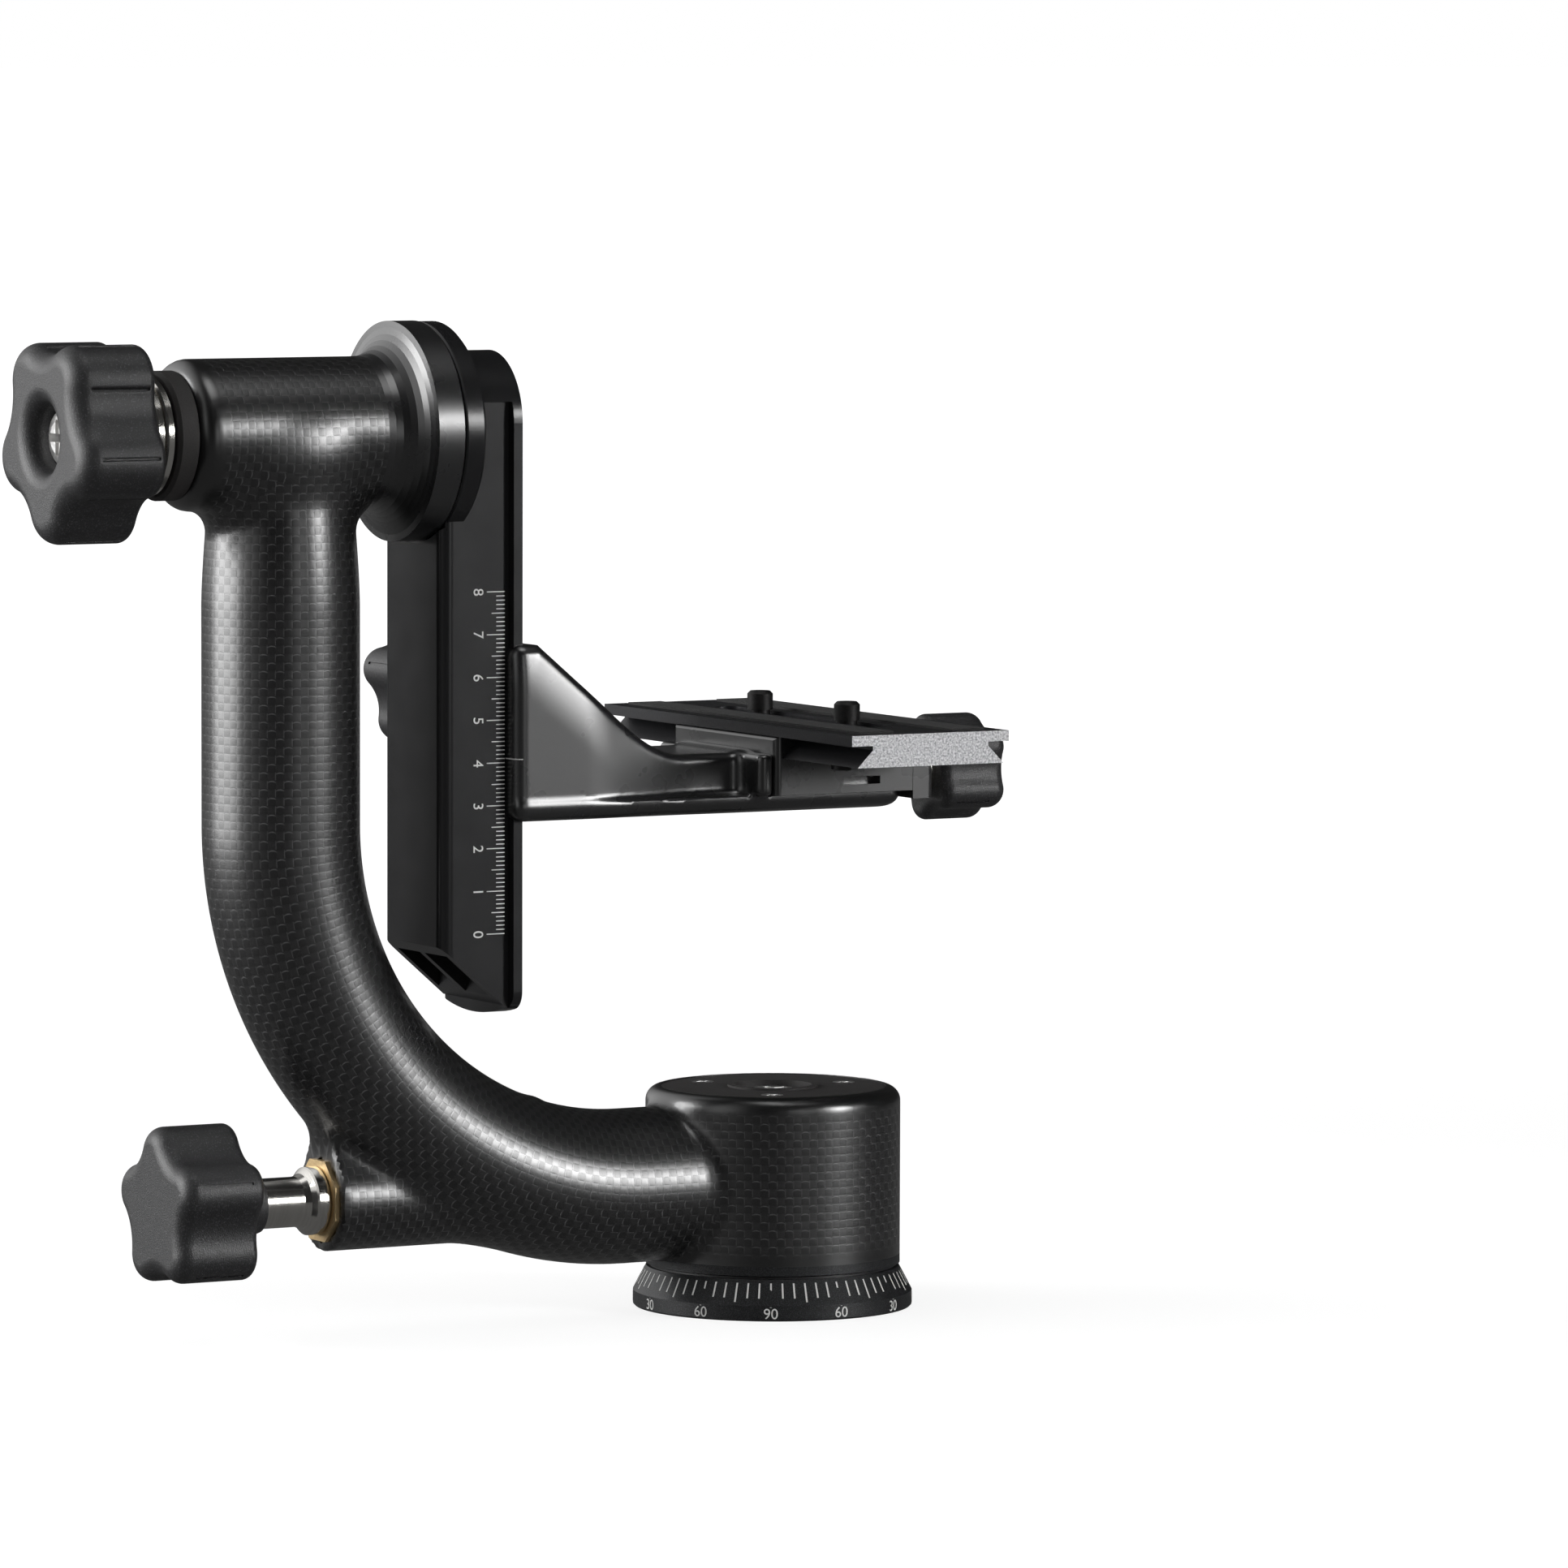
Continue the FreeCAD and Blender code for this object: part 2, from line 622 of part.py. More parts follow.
def housing_liner():
    """The aluminium cup bonded inside the housing, bored for the two pan bearings."""
    top = housing_top - top_cap_thickness
    body = disc(housing_radius - housing_wall, top - housing_bottom, Vector(0, 0, housing_bottom), Z)
    well = disc(pan_bearing_outer_radius + fit_clearance, top - housing_bottom,
                Vector(0, 0, housing_bottom), Z)
    lip = ring(pan_bearing_outer_radius + fit_clearance, pan_bearing_outer_radius - liner_lip,
               pan_bearing_spread - 2 * slide_gap,
               Vector(0, 0, lower_bearing_z + pan_bearing_width + slide_gap), Z)
    passage = disc(pad_radius + running_clearance, housing_radius,
                   Vector(-housing_radius, 0, pan_lock_height), X)
    body = body.cut(well).fuse(lip).cut(passage)
    for centre in cap_screw_centres():
        hole = disc(cap_screw_radius + fit_clearance, cap_screw_depth + fit_clearance,
                    centre + Z * (top - cap_screw_depth - fit_clearance), Z)
        body = body.cut(hole)
    return body


def housing_end_ring():
    return ring(housing_radius, pan_bearing_outer_radius - liner_lip, end_ring_thickness,
                Vector(0, 0, end_ring_bottom), Z)


def top_cap():
    bottom = housing_top - top_cap_thickness
    face = housing_top - top_cap_inset
    cap = ring(housing_radius - housing_wall, top_cap_window_radius, face - bottom,
               Vector(0, 0, bottom), Z)
    collar = ring(top_cap_window_radius + top_cap_collar_width, top_cap_window_radius,
                  top_cap_collar_rise, Vector(0, 0, face), Z)
    cap = cap.fuse(collar)
    for centre in cap_screw_centres():
        cap = cap.cut(cap_screw(centre, fit_clearance))
    return cap


def cap_screw_centres():
    return around(3, cap_screw_circle_radius, math.radians(cap_screw_start))


def cap_screw(centre, extra=0.0):
    """A top cap screw, its head flush with the cap; extra gives the hole around it."""
    length = top_cap_thickness - top_cap_inset - cap_screw_head_height + cap_screw_depth
    end = length + cap_screw_head_height
    shank = cap_screw_radius + extra
    head = cap_screw_head_radius + extra
    bottom = housing_top - top_cap_thickness - cap_screw_depth
    return turned([(0, 0), (0, shank), (length, shank), (length, head), (end, head), (end, 0)],
                  centre + Z * bottom, Z)


def top_cap_screws():
    screws = []
    for centre in cap_screw_centres():
        recess = cross_recess(centre + Z * (housing_top - top_cap_inset), Z,
                              cap_screw_recess_reach, cap_screw_recess_slot,
                              cap_screw_recess_depth)
        screws.append(cap_screw(centre).cut(recess))
    return group(screws)


def bush_blank(extra=0.0):
    """The eight-sided rim of the brass bush, seated in the boss's end face."""
    points = []
    seat_x = -lock_boss_reach + bush_seat_depth - bush_rim_thickness
    corner = bush_radius + extra
    for index in range(8):
        angle = math.pi / 8 + math.pi / 4 * index
        points.append(Vector(seat_x, corner * math.cos(angle),
                             pan_lock_height + corner * math.sin(angle)))
    return prism(points, X * (bush_rim_thickness + extra))


def pan_lock_bush():
    """The brass bush that the pan lock screw runs in."""
    shank = disc(bush_shank_radius, bush_length, Vector(-lock_boss_reach, 0, pan_lock_height), X)
    bore = disc(lock_rod_radius + running_clearance, 2 * bush_length,
                Vector(-lock_boss_reach - bush_length / 2, 0, pan_lock_height), X)
    return bush_blank().fuse(shank).cut(bore)


def sleeve_flange():
    """The black alloy flange that flares from the sleeve to the hub."""
    rim_start = flange_length - flange_rim_width
    steps = 8
    flare = []
    for step in range(steps + 1):
        angle = math.pi / 2 * step / steps
        radius = sleeve_radius + (flange_radius - sleeve_radius) * (1 - math.cos(angle))
        flare.append((rim_start * math.sin(angle), radius))
    bore = liner_radius + fit_clearance
    rim = [(flange_length - edge_bevel, flange_radius), (flange_length, flange_radius - edge_bevel),
           (flange_length, bore)]
    return turned([(0, bore)] + flare + rim, Vector(sleeve_right_x, 0, tilt_axis_height), X)


def sleeve_liner():
    """The aluminium tube inside the sleeve, which carries the tilt bearings."""
    start = sleeve_left_x + side_gap
    seat = tilt_bearing_outer_radius + fit_clearance
    tube = ring(liner_radius, seat, flange_face_x - side_gap - start,
                Vector(start, 0, tilt_axis_height), X)
    left = left_bearing_x + tilt_bearing_width + slide_gap
    land = ring(liner_radius, tilt_bearing_outer_radius - liner_lip,
                right_bearing_x - slide_gap - left, Vector(left, 0, tilt_axis_height), X)
    return tube.fuse(land)


def tilt_end_cap():
    """The cap that closes the sleeve behind the tilt knob."""
    start = Vector(sleeve_left_x - end_cap_length, 0, tilt_axis_height)
    reach = end_cap_length
    end = reach + end_cap_plug_length
    plug = tilt_bearing_outer_radius - fit_clearance
    hole = tilt_bearing_bore_radius + end_cap_hole_gap
    return turned([(0, hole), (0, end_cap_radius - end_cap_bevel), (end_cap_bevel, end_cap_radius),
                   (reach, end_cap_radius), (reach, plug), (end, plug), (end, hole)], start, X)


# ---- the swing arm, which tilts
def tilt_spindle():
    """The spindle: a stud for the knob, the bearings' seat and the shoulder inside the hub."""
    left = tilt_knob_back_x - knob_nut_length()
    neck = sleeve_left_x + end_cap_plug_length / 2 - left
    shoulder = right_bearing_x + tilt_bearing_width - left
    end = swing_inner_x - spindle_end_depth - left
    seat = tilt_bearing_bore_radius - fit_clearance
    body = turned([(0, 0), (0, tilt_stud_radius - edge_bevel), (edge_bevel, tilt_stud_radius),
                   (neck, tilt_stud_radius), (neck, seat), (shoulder, seat),
                   (shoulder, tilt_shoulder_radius), (end, tilt_shoulder_radius),
                   (end, 0)], Vector(left, 0, tilt_axis_height), X)
    return body.cut(hub_bolt_blank(fit_clearance))


def hub_bolt_blank(extra=0.0):
    """The bolt through the rail's face that holds the swing arm on the tilt spindle."""
    seat = swing_inner_x - hub_bolt_seat_depth
    length = hub_bolt_length
    end = rail_face_x - hub_bolt_sink - seat + length
    shank = hub_bolt_radius + extra
    head = hub_bolt_head_radius + extra
    return turned([(0, 0), (0, shank), (length, shank), (length, head), (end, head), (end, 0)],
                  Vector(seat - length, 0, tilt_axis_height), X)


def hub_bolt():
    face = Vector(rail_face_x - hub_bolt_sink, 0, tilt_axis_height)
    recess = disc(hub_bolt_key_radius, hub_bolt_key_depth, face - X * hub_bolt_key_depth, X)
    return hub_bolt_blank().cut(recess)


def tilt_friction_washer():
    start = Vector(hub_face_x - face_gap / 2, 0, tilt_axis_height)
    return ring(friction_washer_outer_radius, tilt_shoulder_radius + 2 * running_clearance,
                friction_washer_thickness, start, X)


def rail_outline():
    """The rail seen along X: straight sides, a round top and a gently crowned foot."""
    top_z = tilt_axis_height + rail_top_rise
    foot_z = tilt_axis_height - rail_drop
    side_z = foot_z + rail_bottom_crown
    half = rail_half_width
    x = rail_face_x
    outline = Part.Wire([
        Part.Arc(Vector(x, half, top_z), Vector(x, 0, top_z + half), Vector(x, -half, top_z)).toShape(),
        Part.makeLine(Vector(x, -half, top_z), Vector(x, -half, side_z)),
        Part.Arc(Vector(x, -half, side_z), Vector(x, 0, foot_z), Vector(x, half, side_z)).toShape(),
        Part.makeLine(Vector(x, half, side_z), Vector(x, half, top_z))])
    depth = rail_face_x - swing_outer_x
    solid = Part.Face(outline).extrude(X * -depth)
    corners = [e for e in solid.Edges if e.BoundBox.ZMax < side_z + 1e-6
               and e.BoundBox.YLength < 1e-6 and e.BoundBox.XLength > depth / 2]
    return solid.makeFillet(rail_corner_round, corners)


def swing_section():
    """The arm cut across: a box with two rounded corners, a grooved neck and the rail's lip."""
    half = swing_body_half_width
    neck = rail_neck_half_width
    lip = rail_half_width
    turn = swing_corner_round
    left = swing_outer_x
    bevel = turn * (1 - math.sqrt(0.5))
    right_side = [(left + turn, -half), (swing_inner_x, -half), (swing_inner_x, -neck),
                  (rail_groove_x, -neck), (rail_flare_x, -lip), (rail_face_x, -lip)]
    z = tilt_axis_height - rail_drop
    lower = [Vector(x, y, z) for x, y in right_side]
    upper = [Vector(x, -y, z) for x, y in reversed(right_side)]
    path = lower + upper
    edges = [Part.makeLine(a, b) for a, b in zip(path, path[1:])]
    edges.append(Part.Arc(upper[-1], Vector(left + bevel, half - bevel, z),
                          Vector(left, half - turn, z)).toShape())
    edges.append(Part.makeLine(Vector(left, half - turn, z), Vector(left, turn - half, z)))
    edges.append(Part.Arc(Vector(left, turn - half, z), Vector(left + bevel, bevel - half, z),
                          lower[0]).toShape())
    return Part.Face(Part.Wire(edges))


def swing_arm():
    """The swing arm casting: hub, hollow body open at its slanted end, and the grooved rail."""
    axis_z = tilt_axis_height
    height = rail_drop + groove_top_rise
    body = swing_section().extrude(Z * height)
    crown_z = axis_z + groove_top_rise
    crown = block((hub_face_x, -rail_half_width, crown_z),
                  (rail_face_x, rail_half_width, axis_z + rail_top_rise + rail_half_width))
    body = body.fuse(crown).common(rail_outline())
    bevel = edge_bevel
    hub = turned([(0, 0), (0, hub_radius - bevel), (bevel, hub_radius),
                  (hub_thickness - 2 * bevel, hub_radius), (hub_thickness, hub_radius - 2 * bevel),
                  (hub_thickness, 0)], Vector(hub_face_x, 0, axis_z), X)
    around_flange = disc(flange_radius + 2 * face_gap, swing_body_lead,
                         Vector(hub_face_x - swing_body_lead, 0, axis_z), X)
    body = body.cut(around_flange).fuse(hub)
    outer = axis_z - slant_outer_drop
    inner = axis_z - slant_inner_drop
    bottom = axis_z - rail_drop
    slope = (inner - outer) / swing_body_depth
    overshoot = 2.0
    wide = 2 * rail_half_width
    slant = prism([Vector(swing_outer_x - overshoot, -wide, outer - slope * overshoot),
                   Vector(swing_inner_x, -wide, inner),
                   Vector(swing_inner_x, -wide, bottom - overshoot),
                   Vector(swing_outer_x - overshoot, -wide, bottom - overshoot)], Y * 2 * wide)
    body = body.cut(slant)
    for side in (-1, 1):
        near = side * swing_web_thickness / 2
        far = side * (swing_body_half_width - swing_wall)
        pocket = block((swing_outer_x + swing_wall, min(near, far), bottom - overshoot),
                       (swing_inner_x - swing_wall, max(near, far), axis_z - cavity_top_drop))
        body = body.cut(pocket)
    seat = disc(friction_washer_outer_radius + fit_clearance, friction_washer_thickness - face_gap / 2,
                Vector(hub_face_x, 0, axis_z), X)
    bore = disc(tilt_shoulder_radius + fit_clearance,
                swing_inner_x - spindle_end_depth - hub_face_x + fit_clearance,
                Vector(hub_face_x, 0, axis_z), X)
    return body.cut(seat).cut(bore).cut(hub_bolt_blank(fit_clearance))


# ---- the tilt lock
def tilt_thrust_washers():
    """Polished rings between the tilt knob and the end cap."""
    space = tilt_knob_gap - end_cap_length - face_gap - fit_clearance
    pitch = space / len(tilt_washer_radii)
    thickness = pitch - fit_clearance
    inner = tilt_stud_radius + 2 * running_clearance
    rings = []
    for index, radius in enumerate(tilt_washer_radii):
        start = Vector(tilt_knob_back_x + fit_clearance + index * pitch, 0, tilt_axis_height)
        rings.append(turned([(0, inner), (0, radius - edge_bevel), (edge_bevel, radius),
                             (thickness - edge_bevel, radius), (thickness, radius - edge_bevel),
                             (thickness, inner)], start, X))
    return group(rings)


def knob_nut_length():
    """How deep the tilt knob's nut and the stud in it reach."""
    return tilt_knob_length - tilt_knob_recess_depth - end_cap_bevel


def tilt_knob():
    knob = star_knob(tilt_knob_radius, tilt_knob_valley_radius, tilt_knob_lobe_radius,
                     tilt_knob_length)
    face = tilt_knob_length
    floor = face - tilt_knob_recess_depth
    lip = tilt_knob_recess_lip
    wide = tilt_knob_recess_radius
    recess = turned([(face + 1, 0), (face + 1, wide + lip), (face, wide + lip * 0.7),
                     (face - lip * 0.5, wide + lip * 0.2), (face - lip, wide),
                     (floor, wide - tilt_knob_recess_draft), (floor, 0)], Vector(0, 0, 0), Z)
    insert = disc(tilt_insert_radius + fit_clearance, face, Vector(0, 0, 0), Z)
    knob = knob.cut(recess).cut(insert)
    return stand(knob, Vector(tilt_knob_back_x, 0, tilt_axis_height), X * -1, tilt_knob_spin)


def tilt_knob_insert():
    """The brass nut moulded into the tilt knob, which runs on the tilt spindle's thread."""
    length = knob_nut_length()
    return ring(tilt_insert_radius, tilt_stud_radius + running_clearance, length,
                Vector(tilt_knob_back_x - length, 0, tilt_axis_height), X)


def tilt_knob_screw():
    """The cross-recessed cap screw in the middle of the tilt knob."""
    wide = tilt_insert_radius - fit_clearance
    tall = tilt_cap_screw_height
    start = Vector(tilt_knob_back_x - knob_nut_length() - fit_clearance, 0, tilt_axis_height)
    head = turned([(0, 0), (0, wide), (tall * 0.5, wide), (tall * 0.85, wide * 0.78),
                   (tall, wide * 0.5), (tall, 0)], start, X * -1)
    return head.cut(cross_recess(start - X * tall, X * -1, wide * 0.56, wide * 0.26, tall * 0.6))


# ---- the pan lock
def pan_knob_stud_depth():
    return pan_knob_length * knob_bore_share


def pan_knob():
    knob = star_knob(pan_knob_radius, pan_knob_valley_radius, pan_knob_lobe_radius, pan_knob_length)
    socket = disc(pan_core_radius + fit_clearance, pan_knob_stud_depth() + fit_clearance,
                  Vector(0, 0, 0), Z)
    knob = knob.cut(socket)
    return stand(knob, Vector(pan_knob_back_x, 0, pan_lock_height), X * -1, pan_knob_spin)


def pan_knob_hub():
    """The tapered black ferrule at the back of the pan lock knob."""
    bore = pan_shaft_radius + fit_clearance
    core = pan_core_radius + fit_clearance
    seat = 2 * edge_bevel
    return turned([(0, core), (0, pan_shaft_radius + pan_knob_hub_flare),
                   (pan_knob_hub_length, bore + 2 * edge_bevel), (pan_knob_hub_length, bore),
                   (seat, bore), (seat, core)],
                  Vector(pan_knob_back_x, 0, pan_lock_height), X)


def pan_lock_screw():
    """The polished screw of the pan lock: shaft, flared collar and the long rod to the brake pad."""
    left = pan_knob_back_x - pan_knob_stud_depth()
    back = pan_knob_back_x + 2 * edge_bevel - left
    collar_end = -lock_boss_reach + bush_seat_depth - bush_rim_thickness - slide_gap - left
    collar = collar_end - pan_collar_thickness
    flare = pan_collar_flare
    tip = pad_left_x + brake_pad_pocket - left
    shaft = pan_shaft_radius
    wide = pan_collar_radius
    bevel = edge_bevel
    return turned([(0, 0), (0, pan_core_radius), (back, pan_core_radius), (back, shaft),
                   (collar - flare, shaft), (collar - flare * 0.4, shaft + flare * 0.25),
                   (collar, wide - bevel), (collar + bevel, wide), (collar_end - bevel, wide),
                   (collar_end, wide - bevel), (collar_end, lock_rod_radius),
                   (tip - bevel, lock_rod_radius), (tip, lock_rod_radius - bevel), (tip, 0)],
                  Vector(left, 0, pan_lock_height), X)


def pan_brake_pad():
    """The acetal pad that the pan lock pushes against the drum."""
    pad = disc(pad_radius, brake_pad_length, Vector(pad_left_x, 0, pan_lock_height), X)
    drum = disc(spindle_shoulder_radius + face_gap, 4 * pad_radius,
                Vector(0, 0, pan_lock_height - 2 * pad_radius), Z)
    pocket = disc(lock_rod_radius + running_clearance, brake_pad_pocket,
                  Vector(pad_left_x, 0, pan_lock_height), X)
    return pad.cut(drum).cut(pocket)


# ---- the bracket that slides on the rail
def bracket_profile():
    """The bracket seen along Y, swept across it: rail wall, sloping back, lug and platform."""
    width = 4 * clamp_half_length
    left = bracket_back_x
    low = bracket_bottom
    top = low + bracket_height
    lug_right = lug_right_x
    lug_top = low + lug_height
    knee = Vector(left + bracket_shoulder_length, 0, top)
    slope_end = knee + Vector(bracket_slope_run, 0, -bracket_slope_drop)
    foot = Vector(lug_left_x - lug_foot, 0, lug_top)
    chord = foot - slope_end
    sag = Vector(chord.z, 0, -chord.x).normalize() * (chord.Length * bracket_slope_sag)
    middle = slope_end + chord * 0.5 + sag
    edges = [Part.makeLine(Vector(left, 0, low), Vector(left, 0, top)),
             Part.makeLine(Vector(left, 0, top), knee),
             Part.makeLine(knee, slope_end),
             Part.Arc(slope_end, middle, foot).toShape(),
             Part.makeLine(foot, Vector(lug_right, 0, lug_top)),
             Part.makeLine(Vector(lug_right, 0, lug_top), Vector(lug_right, 0, platform_top)),
             Part.makeLine(Vector(lug_right, 0, platform_top), Vector(platform_reach, 0, platform_top)),
             Part.makeLine(Vector(platform_reach, 0, platform_top), Vector(platform_reach, 0, low)),
             Part.makeLine(Vector(platform_reach, 0, low), Vector(left, 0, low))]
    face = Part.Face(Part.Wire(edges))
    face.translate(Y * (-width / 2))
    return face.extrude(Y * width)


def gusset_plan():
    """The bracket above its platform, seen from above: rail end, waist, pocket and lug."""
    half = bracket_half_width
    left = bracket_back_x
    end = lug_length / 2
    waist_left = left + waist_start
    waist_right = lug_left_x - pocket_length
    nose = clamp_half_length

    def one_side(side):
        def point(x, y):
            return Vector(x, side * y, platform_top)
        waist = Part.BezierCurve()
        waist.setPoles([point(waist_left, half), point(waist_left + waist_turn, half),
                        point(waist_right - waist_turn, pocket_half_width),
                        point(waist_right, pocket_half_width)])
        return [Part.makeLine(point(left, half), point(waist_left, half)), waist.toShape(),
                Part.makeLine(point(waist_right, pocket_half_width),
                              point(lug_left_x, pocket_half_width)),
                Part.makeLine(point(lug_left_x, pocket_half_width), point(lug_left_x, nose - end)),
                Part.Arc(point(lug_left_x, nose - end), point(lug_left_x + end, nose),
                         point(lug_right_x, nose - end)).toShape()]
    closing = [Part.makeLine(Vector(lug_right_x, end - nose, platform_top),
                             Vector(lug_right_x, nose - end, platform_top)),
               Part.makeLine(Vector(left, half, platform_top), Vector(left, -half, platform_top))]
    return Part.Face(Part.Wire(Part.__sortEdges__(one_side(-1) + one_side(1) + closing)))


def slab_plan():
    """The platform seen from above, with its two free corners rounded."""
    half = bracket_half_width
    flat = platform_half_width
    left = bracket_back_x
    right = platform_reach
    turn = platform_corner
    bevel = turn * (1 - math.sqrt(0.5))
    z = bracket_bottom

    def one_side(side):
        def point(x, y):
            return Vector(x, side * y, z)
        return [Part.makeLine(point(left, half), point(left + waist_start, half)),
                Part.makeLine(point(left + waist_start, half), point(lug_left_x, flat)),
                Part.makeLine(point(lug_left_x, flat), point(right - turn, flat)),
                Part.Arc(point(right - turn, flat), point(right - bevel, flat - bevel),
                         point(right, flat - turn)).toShape()]
    closing = [Part.makeLine(Vector(right, turn - flat, z), Vector(right, flat - turn, z)),
               Part.makeLine(Vector(left, half, z), Vector(left, -half, z))]
    return Part.Face(Part.Wire(Part.__sortEdges__(one_side(-1) + one_side(1) + closing)))


def hook_outline(side, root, inner, outer):
    """A hook round one edge of the rail, seen along Z; side is -1 or 1."""
    neck = rail_neck_half_width + slide_gap + rail_neck_gap
    points = [(root, inner), (hook_flare_x, inner), (hook_tip_x, neck), (hook_left_x, neck),
              (hook_left_x, outer), (root, outer)]
    return [Vector(x, side * y, bracket_bottom) for x, y in points]


def round_upright(solid, x, y, radius):
    """Rounds the solid's upright edge that stands at x, y."""
    edges = [e for e in solid.Edges if e.BoundBox.XLength < 1e-6 and e.BoundBox.YLength < 1e-6
             and abs(e.BoundBox.XMin - x) < 1e-6 and abs(e.BoundBox.YMin - y) < 1e-6]
    return solid.makeFillet(radius, edges)


def platform_bracket():
    """The cast bracket: it wraps the rail's front edge and carries the lens clamp."""
    profile = bracket_profile()
    gusset = profile.common(gusset_plan().extrude(Z * (bracket_height - platform_thickness)))
    slab = profile.common(slab_plan().extrude(Z * platform_thickness))
    outer = bracket_half_width
    hook = prism(hook_outline(-1, bracket_back_x + slide_gap, rail_half_width + slide_gap, outer),
                 Z * bracket_height)
    hook = round_upright(hook, hook_left_x, -outer, rail_hook_corner)
    body = gusset.fuse(slab).fuse(hook).removeSplitter()
    jaw_space = block((hook_left_x - 1, rail_jaw_inner_y - slide_gap, bracket_bottom - 1),
                      (bracket_back_x + rail_jaw_length + 1, 2 * clamp_half_length,
                       bracket_bottom + bracket_height + 1))
    stud_hole = disc(rail_stud_radius + running_clearance, rail_stud_reach + 6 * slide_gap,
                     Vector(rail_knob_x, rail_jaw_inner_y - rail_stud_reach - 5 * slide_gap,
                            rail_knob_z), Y)
    body = body.cut(jaw_space).cut(stud_hole)
    bolts = [bolt.translated(X * clamp_offset) for bolt in clamp_bolt_blanks(fit_clearance)]
    for fixing in rail_pin_blanks(fit_clearance) + bolts:
        body = body.cut(fixing)
    return body


def rail_pin_blanks(extra=0.0):
    pins = []
    for side in (-1, 1):
        centre = Vector(rail_knob_x + rail_jaw_pin_offset, rail_jaw_inner_y - rail_jaw_pin_depth,
                        rail_knob_z + side * rail_jaw_pin_spread)
        pins.append(disc(rail_jaw_pin_radius + extra, rail_jaw_pin_length + extra, centre, Y))
    return pins


def rail_jaw_pins():
    return group(rail_pin_blanks())


def rail_jaw():
    """The loose jaw on the rail's far edge, drawn in by the rail knob."""
    outer = rail_jaw_inner_y + rail_jaw_thickness
    right_x = bracket_back_x + rail_jaw_length
    step_x = bracket_back_x - slide_gap
    inner = rail_half_width + slide_gap
    points = hook_outline(1, step_x, inner, outer)[:-1]
    rest = [(right_x, outer), (right_x, rail_jaw_inner_y), (step_x, rail_jaw_inner_y)]
    points += [Vector(x, y, bracket_bottom) for x, y in rest]
    jaw = prism(points, Z * bracket_height)
    jaw = round_upright(jaw, hook_left_x, outer, rail_jaw_corner)
    jaw = round_upright(jaw, right_x, outer, rail_jaw_end_corner)
    above = block((bracket_back_x, rail_jaw_inner_y - 1, bracket_bottom - 1),
                  (right_x + 1, outer + 1, bracket_bottom + bracket_height + 1))
    jaw = jaw.cut(above.cut(bracket_profile()))
    hole = disc(rail_stud_radius + 2 * slide_gap, rail_jaw_thickness + 2,
                Vector(rail_knob_x, rail_jaw_inner_y - 1, rail_knob_z), Y)
    jaw = jaw.cut(hole)
    for pin in rail_pin_blanks(running_clearance):
        jaw = jaw.cut(pin)
    return jaw


def rail_knob():
    knob = star_knob(rail_knob_radius, rail_knob_valley_radius, rail_knob_lobe_radius,
                     rail_knob_length)
    depth = rail_knob_length * knob_bore_share
    knob = knob.cut(disc(rail_stud_radius + fit_clearance, depth + fit_clearance, Vector(0, 0, 0), Z))
    return stand(knob, Vector(rail_knob_x, rail_knob_back_y, rail_knob_z), Y, rail_knob_spin)


def rail_knob_stud():
    """The steel stud of the rail knob, with the collar that pushes the jaw."""
    start = Vector(rail_knob_x, rail_jaw_inner_y - rail_stud_reach, rail_knob_z)
    jaw_face = rail_stud_reach + rail_jaw_thickness + slide_gap
    back = rail_stud_reach + rail_jaw_thickness + rail_knob_gap
    end = back + rail_knob_length * knob_bore_share
    return turned(collared_stud(rail_stud_radius, rail_collar_radius, jaw_face, back, end), start, Y)


def collared_stud(stud, collar, face, back, end):
    """A stud's profile: thread, a flared collar between the jaw and the knob, and the knob's core."""
    wide = collar + collar_lip
    return [(0, 0), (0, stud), (face, stud), (face, wide), (face + collar_lip_length, wide),
            (face + collar_lip_length + collar_lip, collar), (back, collar), (back, stud),
            (end, stud), (end, 0)]


# ---- the lens clamp on the platform
def jaw_body(side, inner_x, floor_z):
    """A clamp jaw from its outer face to inner_x, with the lip over the plate's edge."""
    tip = plate_waist_half_width + slide_gap
    foot = plate_bottom_half_width + slide_gap
    outer = clamp_outer_x
    under = plate_bottom - slide_gap
    lip_z = plate_top - plate_flange_thickness - slide_gap
    points = [(outer, floor_z), (inner_x, floor_z), (inner_x, under), (foot, under),
              (foot, plate_bottom), (tip, plate_neck_z), (tip, lip_z),
              (outer - 2 * edge_bevel, lip_z), (outer, lip_z - 2 * edge_bevel)]
    outline = [Vector(side * x, -clamp_half_length, z) for x, z in points]
    jaw = prism(outline, Y * 2 * clamp_half_length)
    uprights = [e for e in jaw.Edges
                if e.BoundBox.XLength < 1e-6 and e.BoundBox.YLength < 1e-6
                and abs(abs(e.BoundBox.XMin) - outer) < 1e-6]
    return jaw.makeFillet(clamp_jaw_end_radius, uprights)


def clamp_body():
    """The fixed half of the lens clamp: its jaw and the channel floor under the plate."""
    body = jaw_body(-1, -clamp_floor_x, platform_top)
    for fixing in clamp_pin_blanks(fit_clearance) + clamp_bolt_blanks(fit_clearance):
        body = body.cut(fixing)
    thread = disc(clamp_screw_radius + running_clearance, clamp_thread_depth + 1,
                  Vector(clamp_floor_x - clamp_thread_depth, 0, clamp_axis_z), X)
    low = plate_bottom - clamp_window_drop
    window = block((clamp_window_left, -clamp_half_length - 1, low),
                   (clamp_window_left + clamp_window_width, -clamp_half_length + clamp_window_depth,
                    low + clamp_window_height))
    return body.cut(thread).cut(window)


